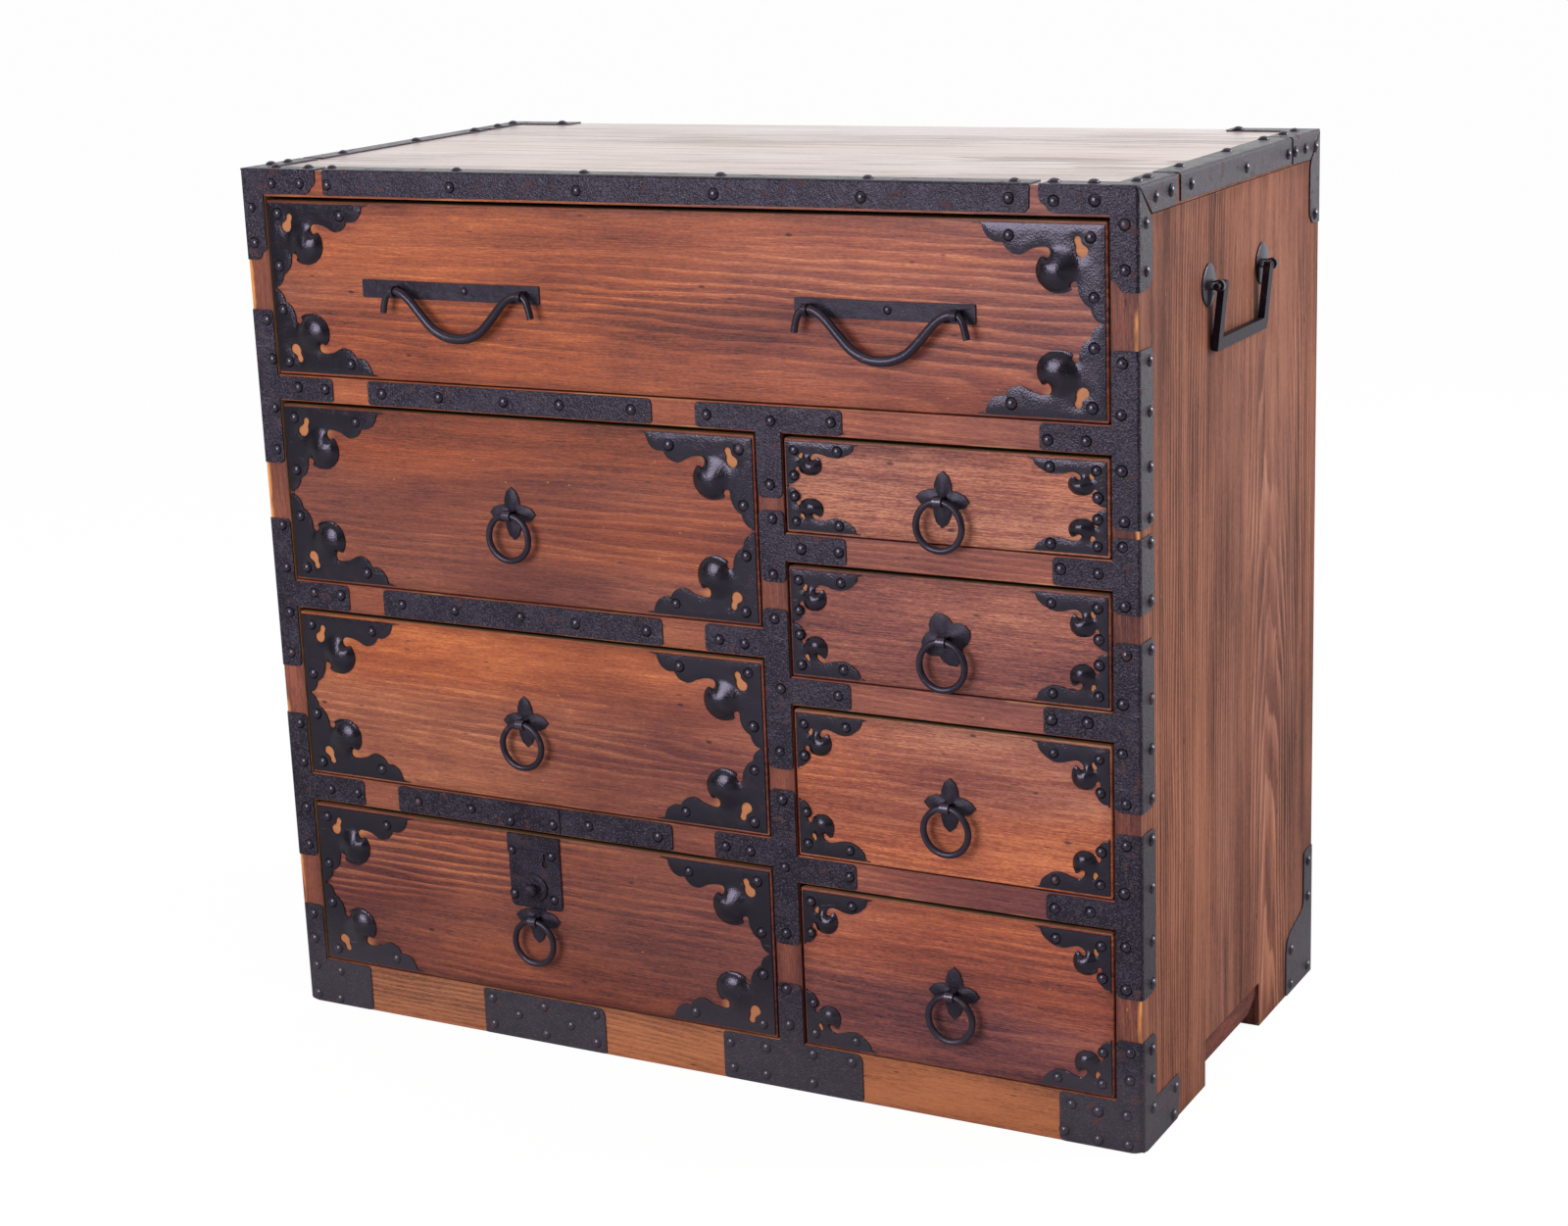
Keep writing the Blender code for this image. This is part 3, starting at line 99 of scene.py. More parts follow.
# %% [markdown]
# The case's faces are read from the boxes of the CAD nodes, so nothing here can drift away from the frame. Sizes
# that a maker would measure on the irons are given in millimetres and turned into metres with one factor.

# %% Find the faces of the case
MM = 0.001
IRON = 1.5 * MM
FIT = 0.3 * MM
CASE_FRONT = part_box("centre_partition")[0].y + IRON
CASE_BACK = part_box("back_panel")[1].y
OUTER_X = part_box("top_board")[1].x - IRON
INNER_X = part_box("back_panel")[1].x + FIT
TOP_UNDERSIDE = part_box("top_board")[0].z
CASE_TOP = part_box("top_board")[1].z - IRON
MIDDLE_Y = (CASE_FRONT + CASE_BACK) / 2
PIVOTS = {joint["child"]: Vector(joint["pos_m"]) for joint in frame["joints"] if joint.get("pos_m")}
print("case front", round(CASE_FRONT, 4), "back", round(CASE_BACK, 4), "top", round(CASE_TOP, 4))

# %% [markdown]
# ## Finishes
# A procedural finish is a sum of patterns. Writing such sums node by node is hard to read, so a small class wraps a
# socket: plus, minus and times on it add the Math nodes. Every other node comes from one method of the finish.


# %% A shader number that sums can be written with
class Value:
    """A socket of a finish. Sums written with it add Math nodes."""

    def __init__(self, finish, socket):
        self.finish = finish
        self.socket = socket

    def output(self, name):
        """Another output of the same node."""
        return Value(self.finish, self.socket.node.outputs[name])

    def __add__(self, other):
        return self.finish.sum("ADD", self, other)

    def __radd__(self, other):
        return self.finish.sum("ADD", other, self)

    def __sub__(self, other):
        return self.finish.sum("SUBTRACT", self, other)

    def __rsub__(self, other):
        return self.finish.sum("SUBTRACT", other, self)

    def __mul__(self, other):
        return self.finish.sum("MULTIPLY", self, other)

    def __rmul__(self, other):
        return self.finish.sum("MULTIPLY", other, self)


# %% A finish and the one method that adds its nodes
class Finish:
    """A procedural material."""

    def __init__(self, name):
        self.material = bpy.data.materials.new(name)
        self.material.use_nodes = True
        self.tree = self.material.node_tree
        self.shader = self.tree.nodes["Principled BSDF"]

    def node(self, kind, settings=None, sockets=None, output=0):
        """Add a node: its settings first, then the values or links of its sockets."""
        made = self.tree.nodes.new("ShaderNode" + kind)
        for name, value in (settings or {}).items():
            if name == "stops":
                while len(made.color_ramp.elements) < len(value):
                    made.color_ramp.elements.new(1.0)
                for element, (position, colour) in zip(made.color_ramp.elements, value):
                    element.position = position
                    element.color = (*colour, 1.0)
            else:
                setattr(made, name, value)
        for name, value in (sockets or {}).items():
            self.feed(made.inputs[name], value)
        return Value(self, made.outputs[output])

    def feed(self, socket, value):
        """Link a value to a socket, or write a number or colour on it."""
        if isinstance(value, Value):
            self.tree.links.new(value.socket, socket)
        else:
            socket.default_value = value

    def written(self, name, output="Fac"):
        """A number written on the mesh, or a place when the output is Vector."""
        return self.node("Attribute", {"attribute_name": name}, output=output)

    def sum(self, operation, first, second=0.0):
        """A Math node."""
        return self.node("Math", {"operation": operation}, {0: first, 1: second})

    def between(self, value, start, end):
        """0 before start, 1 after end, and a soft rise between them."""
        sockets = {"Value": value, "From Min": start, "From Max": end}
        return self.node("MapRange", {"interpolation_type": "SMOOTHSTEP"}, sockets)

    def colour(self, factor, first, second, blend="MIX"):
        """A colour that goes from the first to the second with the factor."""
        pair = [value if isinstance(value, Value) else (*value, 1.0) for value in (first, second)]
        return self.node("Mix", {"data_type": "RGBA", "blend_type": blend},
                         {0: factor, 6: pair[0], 7: pair[1]}, 2)

    def surface(self, **sockets):
        """Set or link sockets of the shader; a socket's blanks are written as underscores."""
        for name, value in sockets.items():
            self.feed(self.shader.inputs[name.replace("_", " ")], value)
        return self.material


# %% [markdown]
# ## Wood
# The boards are flat-sawn softwood, stained red-brown and oiled. What the eye reads as wood is a stack of patterns
# that all run along the grain: soft broad bands, the growth lines that wander and thin out, fine pores, and a fibre
# that is a pixel wide. A picture of wood would show the same figure on every board. Patterns that are worked out
# from the place on the board, and from a number that the board carries, never repeat. Boards also carry their middle
# and half size, which lets the finish find its own edges and wear them.


# %% The patterns that every wood finish shares
class Grain:
    """Patterns that run along a board; a width splits the board into narrower ones, side by side.

    The order names the axes along the grain, across it and into the board.
    """

    def __init__(self, finish, order, width=0.0):
        self.finish = finish
        self.place = finish.node("TexCoord", output="Object")
        parts = finish.node("SeparateXYZ", sockets={0: self.place})
        self.along, self.across, self.deep = (parts.output(axis) for axis in order)
        self.number = finish.written("board_number")
        self.middle = finish.written("board_middle", "Vector")
        self.half = finish.written("board_half", "Vector")
        middle = finish.node("SeparateXYZ", sockets={0: self.middle})
        self.from_middle = self.across - middle.output(order[1])
        if width:
            place = self.across * (1 / width) + 0.5
            self.number = finish.sum("FLOOR", place) * 1.3
            self.from_middle = (finish.sum("FRACT", place) - 0.5) * width

    def mottle(self, along, across, detail=2.0, shift=0.0):
        """Noise round zero with so many spots in a metre along the grain and across it."""
        vector = self.finish.node("CombineXYZ", sockets={
            0: self.along * along + self.number * 3.7 + shift,
            1: self.across * across + self.number * 5.3,
            2: self.deep * across,
        })
        return self.finish.node("TexNoise", sockets={"Vector": vector, "Scale": 1.0, "Detail": detail}) - 0.5

    def rings(self, pitch, aside, depth, slope):
        """Place within a growth ring, 0 to 1; the heart of the tree runs slanting below the board."""
        finish = self.finish
        aside = finish.sum("SINE", self.number * 7.0) * 0.04 + self.mottle(1.1, 0.3, 1, 2.0) * 0.05 + aside
        aside = self.from_middle + aside
        below = self.along * slope + depth + self.mottle(1.6, 7, 2, 6.0) * 0.04
        reach = finish.sum("SQRT", aside * aside + below * below)
        reach = reach + self.mottle(5, 45, 2, 8.0) * (pitch * 2.2)
        return finish.sum("FRACT", reach * (1 / pitch) + self.number)

    def specks(self, size, share, stretch=1.0, shift=0.0):
        """Small scattered marks; the share is how many of the cells have one."""
        vector = self.finish.node("CombineXYZ", sockets={
            0: self.along * (1 / (size * 6 * stretch)) + self.number * 1.9 + shift,
            1: self.across * (1 / (size * 6)) + self.number * 2.3,
            2: self.deep * (1 / (size * 6)),
        })
        cells = self.finish.node("TexVoronoi", sockets={"Vector": vector, "Scale": 1.0})
        chosen = self.finish.node("SeparateXYZ", sockets={0: cells.output("Color")})
        here = 1 - self.finish.between(cells, 0.06, 0.17)
        return here * self.finish.sum("LESS_THAN", chosen, share)

    def from_faces(self):
        """Distances to the board's nearest faces along X, Y and Z, in metres."""
        finish = self.finish
        off = finish.node("VectorMath", {"operation": "SUBTRACT"}, {0: self.place, 1: self.middle})
        off = finish.node("VectorMath", {"operation": "ABSOLUTE"}, {0: off})
        left = finish.node("VectorMath", {"operation": "SUBTRACT"}, {0: self.half, 1: off})
        parts = finish.node("SeparateXYZ", sockets={0: left})
        return [parts.output(axis) for axis in "XYZ"]

    def near_edge(self):
        """Distance to the nearest edge of the board, which is the middle one of the three distances."""
        x, y, z = self.from_faces()
        low, high = self.finish.sum("MINIMUM", x, y), self.finish.sum("MAXIMUM", x, y)
        return self.finish.sum("MAXIMUM", low, self.finish.sum("MINIMUM", high, z))

    def under_plates(self):
        """1 at the corners, where a cut-out plate has kept the wood from the light and from dirt."""
        x, y, z = self.from_faces()
        reach = self.finish.written("plate_reach")
        away = self.finish.sum("SQRT", x * x * 0.8 + z * z * 1.3)
        return self.finish.between(reach - away + self.mottle(30, 60, 2, 17.0) * 0.02, 0.0, 0.012)


# %% Colours of the tints and marks on wood
SMOKED = (0.56, 0.48, 0.64)
PAINTED_SHEEN_TINT = (1.02, 1.06, 1.50)
WARMED = (1.26, 1.00, 0.68)
SHELTERED = (0.60, 0.235, 0.095)
KNOT = (0.030, 0.012, 0.014)
TICK = (0.045, 0.018, 0.018)
EDGE_DARK_TINT = (0.36, 0.30, 0.34)
SEAM_SHADE = (0.16, 0.13, 0.11)
GAP_SHADE = (0.012, 0.008, 0.007)


# %% One recipe for every wood of the chest
def wood(name, order, tones, pitch=0.0085, aside=0.13, depth=0.05, slope=0.05, lines=0.17, bands=0.85,
         streaks=0.26, fibre=1.0, worn=(0.46, 0.21, 0.09), wear=0.35, rubbing=0.04, arris=0.0022, edge_dark=0.5,
         slot_shade=0.0, gloss=0.42, shine=0.26, coat=0.0, marks=1.0, warmth=0.5, smoke=0.6, painted_sheen=0.0, outer=False,
         width=0.0):
    """A wood finish; tones are its colours from the darkest streak to the lightest line.

    pitch, aside, depth and slope place the growth rings. lines, bands, streaks and fibre are the strengths of
    the patterns along the grain. worn is the colour of rubbed edges, and wear, rubbing and arris are how
    bare, how rare and how wide they are; outer keeps them away from the chest's middle. edge_dark darkens
    the edges. slot_shade paints shade, with some dirt, on the faces that stand in the dark round a drawer.
    gloss, shine and coat are the polish, marks is the number of knots and dents, and warmth and smoke tint
    parts of the board; painted_sheen paints a sheen of light that grows towards the chest's right. width is
    the width of the narrower boards that a wide one was glued up from.
    """
    finish = Finish(name)
    grain = Grain(finish, order, width)
    ring = grain.rings(pitch, aside, depth, slope)
    light_line = finish.between(ring, 0.32, 0.88) * (1 - finish.between(ring, 0.90, 1.0))
    tone = finish.written("board_tone") + 0.46
    share = finish.written("board_lines")
    rough_grown = finish.written("board_fibre")
    if width:
        share, rough_grown = 1.0, 1.0
    clear = finish.between(grain.mottle(1.8, 9, 2, 31.0), -0.10, 0.14)
    tone = tone + (light_line - 0.30) * (clear * (1.5 * lines) + 0.2 * lines) * share
    tone = tone + grain.mottle(1.2, 8, 3) * bands
    tone = tone + grain.mottle(6, 15, 3, 25.0) * (bands * 0.6)
    tone = tone + grain.mottle(4, 110, 3, 5.0) * rough_grown * streaks
    fine = grain.mottle(34, 1000, 2, 2.0) * 0.60 + grain.mottle(110, 620, 2, 9.0) * 0.35
    fine = fine + grain.mottle(240, 1000, 2, 7.0) * 0.45
    tone = tone + fine * rough_grown * fibre
    colour = finish.node("ValToRGB", {"stops": tones}, {0: tone})
    cloud = finish.between(grain.mottle(2.6, 9, 4, 41.0), -0.02, 0.17) * smoke
    colour = finish.colour(cloud, colour, SMOKED, "MULTIPLY")
    # Towards the chest's right the colour takes a painted sheen of light.
    if painted_sheen:
        sheen_share = finish.between(grain.along, -0.15, 0.30) * painted_sheen
        colour = finish.colour(sheen_share, colour, PAINTED_SHEEN_TINT, "MULTIPLY")
    warm = finish.between(grain.mottle(1.2, 6, 2, 13.0), -0.08, 0.16) * warmth
    colour = finish.colour(warm, colour, WARMED, "MULTIPLY")
    edge = grain.near_edge()
    bare = grain.under_plates() * finish.between(edge, 0.0030, 0.0034)
    colour = finish.colour(bare * 0.75, colour, SHELTERED)

    knots = grain.specks(0.0022, 0.10 * marks, 2.2)
    colour = finish.colour(knots * 0.8, colour, KNOT)
    ticks = grain.specks(0.0010, 0.16 * marks, 5.0, 8.1)
    colour = finish.colour(ticks * 0.7, colour, TICK)
    dents = grain.specks(0.0012, 0.05 * marks, 1.6, 3.3)
    colour = finish.colour(dents * 0.6, colour, worn)

    # The colour is made darker near the board's edges.
    dark_rim = (1 - finish.between(edge + grain.mottle(12, 40, 3, 21.0) * 0.03, -0.004, 0.016)) * edge_dark
    colour = finish.colour(dark_rim, colour, EDGE_DARK_TINT, "MULTIPLY")
    rubbed = finish.between(grain.mottle(10, 30, 3, 11.0), rubbing, rubbing + 0.13)
    if outer:
        middle = finish.sum("ABSOLUTE", grain.across - grain.from_middle)
        rubbed = rubbed * finish.between(finish.sum("ABSOLUTE", grain.across) - middle, 0.0, 0.002)
    ragged = edge + grain.mottle(60, 60, 2, 23.0) * arris
    bare_arris = (1 - finish.between(ragged, arris * 0.3, arris)) * rubbed * wear
    colour = finish.colour(bare_arris, colour, worn)
    if width:
        seam = width / 2 - finish.sum("ABSOLUTE", grain.from_middle)
        colour = finish.colour(1 - finish.between(seam, 0.0003, 0.0011), colour, SEAM_SHADE, "MULTIPLY")
    # Faces that stand back in the gaps round a drawer are painted dark: painted shade, with some dirt.
    if slot_shade:
        behind = grain.from_faces()[1]
        painted_slot_shade = finish.between(behind, 0.0030, 0.0070) * (1 - finish.between(behind, 0.026, 0.032))
        colour = finish.colour(painted_slot_shade * slot_shade, colour, GAP_SHADE)
    height = tone * 0.5 - knots * 0.8 - dents * 0.5 - ticks * 0.4
    normal = finish.node("Bump", sockets={"Strength": 0.6, "Distance": 0.0005, "Height": height})
    rough = gloss + (0.5 - tone) * 0.12
    finish.surface(Coat_Weight=coat, Coat_Roughness=0.25)
    return finish.surface(Base_Color=colour, Roughness=rough, Normal=normal, Specular_IOR_Level=shine)


# %% [markdown]
# The drawer fronts and the rails are the reddest boards, with a painted sheen of light towards the right. The side
# boards are greyer, with fine close lines. The top board is nearly white in the photograph, where its oil mirrors the
# sky, so its tones are painted pale as a painted reflection of the sky, and it gets a coat. The stiles' front edges
# are rubbed to bare orange wood, on their outer half only. The back panel, the trays and the inner boards are
# unfinished, and each was glued up from boards as wide as its finish says.

# %% The woods
RED_TONES = [(0.0, (0.032, 0.015, 0.018)), (0.25, (0.120, 0.037, 0.034)), (0.50, (0.250, 0.074, 0.050)),
             (0.75, (0.385, 0.125, 0.066)), (1.0, (0.580, 0.230, 0.110))]
SIDE_TONES = [(0.0, (0.050, 0.022, 0.018)), (0.25, (0.132, 0.052, 0.039)), (0.50, (0.245, 0.097, 0.066)),
              (0.75, (0.350, 0.146, 0.097)), (1.0, (0.43, 0.205, 0.140))]
# The top's pale tones hold a painted reflection of the sky.
PALE_TOP_SHEEN_TONES = [(0.0, (0.22, 0.11, 0.08)), (0.25, (0.46, 0.30, 0.25)), (0.5, (0.74, 0.55, 0.52)),
             (1.0, (0.88, 0.74, 0.72))]
BASE_TONES = [(0.0, (0.060, 0.021, 0.016)), (0.25, (0.22, 0.080, 0.046)), (0.5, (0.42, 0.160, 0.085)),
              (0.75, (0.52, 0.205, 0.095)), (1.0, (0.68, 0.33, 0.16))]
PALE_TONES = [(0.0, (0.16, 0.085, 0.045)), (0.30, (0.30, 0.175, 0.095)), (0.55, (0.42, 0.260, 0.150)),
              (1.0, (0.56, 0.39, 0.25))]
PANEL_TONES = [(0.0, (0.060, 0.030, 0.020)), (0.30, (0.160, 0.080, 0.050)), (0.55, (0.260, 0.135, 0.085)),
               (1.0, (0.40, 0.235, 0.155))]
EDGE_TONES = [(0.0, (0.06, 0.040, 0.020)), (0.5, (0.20, 0.125, 0.060)), (1.0, (0.34, 0.22, 0.11))]
DRAWER_WOOD = wood("drawer_wood", "XZY", RED_TONES, slot_shade=0.9, painted_sheen=0.7, smoke=0.8, lines=0.20, streaks=0.36,
                   warmth=1.0, wear=0.22)
DRAWER_EDGE_WOOD = wood("drawer_edge_wood", "XYZ", EDGE_TONES, streaks=0.4, bands=0.6, gloss=0.6, wear=0.0,
                        edge_dark=0.0, slot_shade=0.93)
RAIL_WOOD = wood("rail_wood", "XZY", RED_TONES, pitch=0.006, lines=0.12, warmth=0.8, worn=(0.56, 0.25, 0.10),
                 wear=0.6, edge_dark=0.3, slot_shade=0.85, painted_sheen=0.7)
STILE_WOOD = wood("stile_wood", "ZYX", SIDE_TONES, pitch=0.0058, aside=-0.06, depth=0.03, slope=0.06,
                  lines=0.28, bands=1.0, streaks=0.85, worn=(0.42, 0.24, 0.15), gloss=0.50, shine=0.06,
                  wear=0.25, edge_dark=0.3, marks=0.5, warmth=0.3, smoke=0.3)
STILE_FRONT_WOOD = wood("stile_front_wood", "ZXY", RED_TONES, pitch=0.006, lines=0.08, streaks=0.3,
                        worn=(0.78, 0.31, 0.09), wear=1.0, rubbing=-0.07, arris=0.0050, edge_dark=0.5, slot_shade=0.85,
                        warmth=0.2, outer=True)
PARTITION_WOOD = wood("partition_wood", "ZXY", RED_TONES, pitch=0.006, lines=0.08, streaks=0.3, wear=0.2,
                      edge_dark=0.6, slot_shade=0.85, warmth=0.2)
TOP_WOOD = wood("top_wood", "XYZ", PALE_TOP_SHEEN_TONES, pitch=0.013, aside=0.05, depth=0.06, slope=0.07, lines=0.25,
                bands=1.5, streaks=1.3, worn=(0.60, 0.42, 0.28), gloss=0.36, shine=0.5, coat=0.6, marks=0.3,
                edge_dark=0.15, warmth=0.2, smoke=0.0)
BASE_WOOD = wood("base_wood", "XZY", BASE_TONES, pitch=0.005, aside=0.09, slope=0.16, lines=0.13, streaks=0.4,
                 edge_dark=0.3, slot_shade=0.85, smoke=0.1)
NOTCH_WOOD = wood("notch_wood", "YZX", RED_TONES, lines=0.1, edge_dark=0.6, gloss=0.55, shine=0.15, warmth=0.0)
UNFINISHED = {"smoke": 0.0, "streaks": 0.4, "bands": 0.6, "fibre": 0.5, "gloss": 0.6, "marks": 0.4,
              "wear": 0.0, "edge_dark": 0.0}
INNER_WOOD = wood("inner_wood", "XYZ", PALE_TONES, pitch=0.010, width=0.22, **UNFINISHED)
TRAY_WOOD = wood("tray_wood", "YXZ", PALE_TONES, pitch=0.009, width=0.26, **UNFINISHED)
PANEL_WOOD = wood("panel_wood", "ZXY", PANEL_TONES, pitch=0.010, depth=0.03, smoke=0.4, streaks=0.6,
                  bands=0.9, fibre=1.0, gloss=0.58, marks=0.8, wear=0.0, edge_dark=0.0, lines=0.25, width=0.17)
print(len([material for material in bpy.data.materials if "wood" in material.name]), "woods")

# %% [markdown]
# ## Iron
# The irons were beaten from sheet, blackened and lacquered. Their colour is a cold near-black that hardly varies;
# what shows is relief. Hammer marks a few millimetres wide tilt the surface and break up its shine, small pits sit
# between them, and a little rust shows through in places. Near the floor their colour is painted paler, as dust
# and as a painted sheen of the white floor.

# %% Colours of the iron
BLACKENED, RUBBED_BARE = (0.0150, 0.0112, 0.0190), (0.038, 0.029, 0.046)
GRIT_LIGHT, PIT_DARK = (0.080, 0.067, 0.094), (0.004, 0.003, 0.005)
FLOOR_SHEEN_AND_DIRT, RUST, SCRATCH = (0.080, 0.066, 0.082), (0.125, 0.042, 0.026), (0.16, 0.14, 0.15)


# %% One recipe for the irons
def iron(name, beaten=0.3, pitted=0.3, gloss=0.34, rust=0.3, shine=0.3, haze=1.0, body=1.0):
    """A blackened iron finish.

    beaten and pitted are the heights of its hammer marks and of its grain, in millimetres. haze is how much
    of the surface is rubbed paler, and body scales the brightness of its own colour.
    """
    finish = Finish(name)
    place = finish.node("TexCoord", output="Object")
    marks = finish.node("TexVoronoi", {"feature": "SMOOTH_F1"},
                        {"Vector": place, "Scale": 125.0, "Smoothness": 0.7})
    grit = finish.node("TexNoise", sockets={"Vector": place, "Scale": 640.0, "Detail": 2.0, "Roughness": 0.5})
    patch = finish.node("TexNoise", sockets={"Vector": place, "Scale": 26.0, "Detail": 4.0,
                                             "Roughness": 0.65})
    blotch = finish.node("TexNoise", sockets={"Vector": place, "Scale": 90.0, "Detail": 5.0})
    rubbed = finish.between(patch, 0.42, 0.70)
    colour = finish.colour(rubbed * haze, BLACKENED, RUBBED_BARE)
    colour = finish.colour(finish.between(grit, 0.53, 0.75) * pitted, colour, GRIT_LIGHT)
    colour = finish.colour((1 - finish.between(grit, 0.32, 0.49)) * pitted, colour, PIT_DARK)
    colour = finish.colour(1.0, colour, (body, body, body), "MULTIPLY")
    # Near the floor the colour is painted paler: dust, and a painted sheen of the white floor.
    above_floor = finish.node("SeparateXYZ", sockets={0: place}, output="Z")
    sheen_and_dirt_near_floor = 1 - finish.between(above_floor, 0.02, 0.13)
    colour = finish.colour(sheen_and_dirt_near_floor * 0.5, colour, FLOOR_SHEEN_AND_DIRT)
    rusty = finish.between(blotch, 0.60, 0.70)
    colour = finish.colour(rusty * rust, colour, RUST)
    height = marks * beaten + grit * ((blotch + 0.15) * pitted) + patch * 1.5 * beaten
    normal = finish.node("Bump", sockets={"Strength": 1.0, "Distance": 0.0010, "Height": height})
    slant = finish.node("Mapping", {"vector_type": "POINT"},
                        {0: place, 2: (0.3, 0.6, 0.2), 3: (34.0, 800.0, 300.0)})
    scratch = finish.node("TexNoise", sockets={"Vector": slant, "Scale": 1.0, "Detail": 1.0})
    scratch = finish.between(scratch, 0.70, 0.76) * finish.between(patch, 0.50, 0.60)
    colour = finish.colour(scratch * 0.3, colour, SCRATCH)
    rough = gloss + (rubbed - 0.5) * 0.08 * haze + rusty * (0.6 * rust)
    finish.surface(Specular_IOR_Level=shine, Specular_Tint=(0.82, 0.73, 1.0, 1.0))
    return finish.surface(Base_Color=colour, Roughness=rough, Normal=normal)


# %% [markdown]
# One iron differs from the next in how it was worked. The sheet irons of the case are the most pitted. The drawers'
# corner plates are smooth and glossy, nail heads are polished by wear, and the side handles are dull.

# %% The irons
SHEET_IRON = iron("sheet_iron", beaten=0.14, pitted=1.20, gloss=0.32, rust=0.45, shine=0.42, body=0.85)
BEATEN_IRON = iron("beaten_iron", beaten=0.30, pitted=0.35, gloss=0.42, rust=0.2, shine=0.40, body=0.75)
CORNER_IRON = iron("corner_iron", beaten=0.05, pitted=0.36, gloss=0.21, rust=0.08, shine=0.65, haze=0.0,
                   body=0.35)
NAIL_IRON = iron("nail_iron", beaten=0.0, pitted=0.05, gloss=0.24, rust=0.45, shine=1.0, haze=0.0, body=0.5)
WORN_IRON = iron("worn_iron", beaten=0.04, pitted=0.15, gloss=0.28, rust=0.20, shine=1.0, haze=0.6)
RING_IRON = iron("ring_iron", beaten=0.06, pitted=0.20, gloss=0.30, rust=0.30, shine=0.55, haze=0.5, body=0.8)
HANDLE_IRON = iron("handle_iron", beaten=0.08, pitted=0.40, gloss=0.45, rust=0.25, shine=0.20, haze=0.2,
                   body=0.7)
# The dark finish of the ring under each nail head: grime, and painted shade at its foot.
FOOT_DIRT_AND_SHADE = iron("dark_rim", beaten=0.0, pitted=0.2, gloss=0.7, rust=0.0, shine=0.1, haze=0.0, body=0.25)
LOCK_IRON = iron("lock_iron", beaten=0.10, pitted=0.90, gloss=0.38, rust=0.25, shine=0.28)
print(len([material for material in bpy.data.materials if "iron" in material.name]), "irons")

# %% [markdown]
# ## Pieces
# A bmesh becomes a named object in one place. The helper also says which CAD body the piece moves with, which
# finishes it wears, and which CAD nodes it stands for.


# %% Turn a bmesh into a piece
def move(shape, way):
    """Move a whole shape."""
    bmesh.ops.translate(shape, vec=way, verts=shape.verts)


def only_verts(grown):
    """The vertices among what an extrusion gives back."""
    return [item for item in grown["geom"] if isinstance(item, bmesh.types.BMVert)]


def piece(name, shape, finish, body="root", stands_for=(), smooth=50, flat=True):
    """A named object for a finished bmesh; large faces keep their own normal when flat is set."""
    mesh = bpy.data.meshes.new(name)
    shape.to_mesh(mesh)
    shape.free()
    for each in finish if isinstance(finish, tuple) else (finish,):
        mesh.materials.append(each)
    mesh.shade_smooth()
    mesh.set_sharp_from_angle(angle=math.radians(smooth))
    made = bpy.data.objects.new(name, mesh)
    if flat:
        even = made.modifiers.new("flat_faces", "WEIGHTED_NORMAL")
        even.keep_sharp = True
    bpy.context.scene.collection.objects.link(made)
    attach(made, body)
    if stands_for:
        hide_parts(*stands_for)
    return made


# %% [markdown]
# ## Boards
# A board is a cube with its edges eased. Its middle, its half size and its number are written on the mesh, where
# the wood finish reads them.


# %% Saw a board
def plank(low, high, edge=0.8 * MM, rounds=2):
    """A board between two corners with eased edges."""
    low, high = Vector(low), Vector(high)
    shape = bmesh.new()
    bmesh.ops.create_cube(shape, size=1)
    bmesh.ops.scale(shape, vec=high - low, verts=shape.verts)
    move(shape, (low + high) / 2)
    bmesh.ops.bevel(shape, geom=shape.edges[:], offset=edge, segments=rounds, profile=0.5, affect="EDGES",
                    material=-1)
    return shape


def number_board(made, low, high, number, tone=0.0, reach=0.0, lines=1.0, fibre=1.0):
    """Write a board's middle, half size, number and looks on its mesh, where the finish reads them."""
    low, high = Vector(low), Vector(high)
    mesh = made.data
    count = len(mesh.vertices)
    for label, value in (("board_middle", (low + high) / 2), ("board_half", (high - low) / 2)):
        mesh.attributes.new(label, "FLOAT_VECTOR", "POINT").data.foreach_set("vector", list(value) * count)
    numbers = {"board_number": number, "board_tone": tone, "plate_reach": reach, "board_lines": lines,
               "board_fibre": fibre}
    for label, value in numbers.items():
        mesh.attributes.new(label, "FLOAT", "POINT").data.foreach_set("value", [value] * count)
    return made


def board(name, low, high, finish, number, body="root", stands_for=(), edge=0.8 * MM, tone=0.0):
    """A plain board as a numbered piece."""
    made = piece(name, plank(low, high, edge), finish, body, stands_for)
    return number_board(made, low, high, number, tone)


# %% [markdown]
# The side boards have a foot at each end, because a low notch is sawn out between them. A dark board closes the upper
# half of the notch, and its lower edge curves up at the back. A board's outline is drawn once as a face and extruded
# to its thickness. The same helper cuts the sheet irons later: corners are given with a radius each, and a corner's
# arc is drawn from a few points.


# %% Draw an outline and cut a flat shape from it
ARC_STEPS = 4
SHARP = 1.2


def outline(corners):
    """Points of a closed outline from corners given as (across, up, radius), all in millimetres."""
    points = []
    for index, (across, up, radius) in enumerate(corners):
        here = Vector((across, up))
        if not radius:
            points.append(here * MM)
            continue
        before = Vector(corners[index - 1][:2])
        after = Vector(corners[(index + 1) % len(corners)][:2])
        start = here + (before - here).normalized() * radius
        end = here + (after - here).normalized() * radius
        for step in range(ARC_STEPS + 1):
            t = step / ARC_STEPS
            points.append((start * (1 - t) ** 2 + here * (2 * t * (1 - t)) + end * t * t) * MM)
    return points


def outward(shape):
    """Turn a closed shape's faces to the outside."""
    bmesh.ops.recalc_face_normals(shape, faces=shape.faces)
    if shape.calc_volume(signed=True) < 0:
        bmesh.ops.reverse_faces(shape, faces=shape.faces)
    return shape


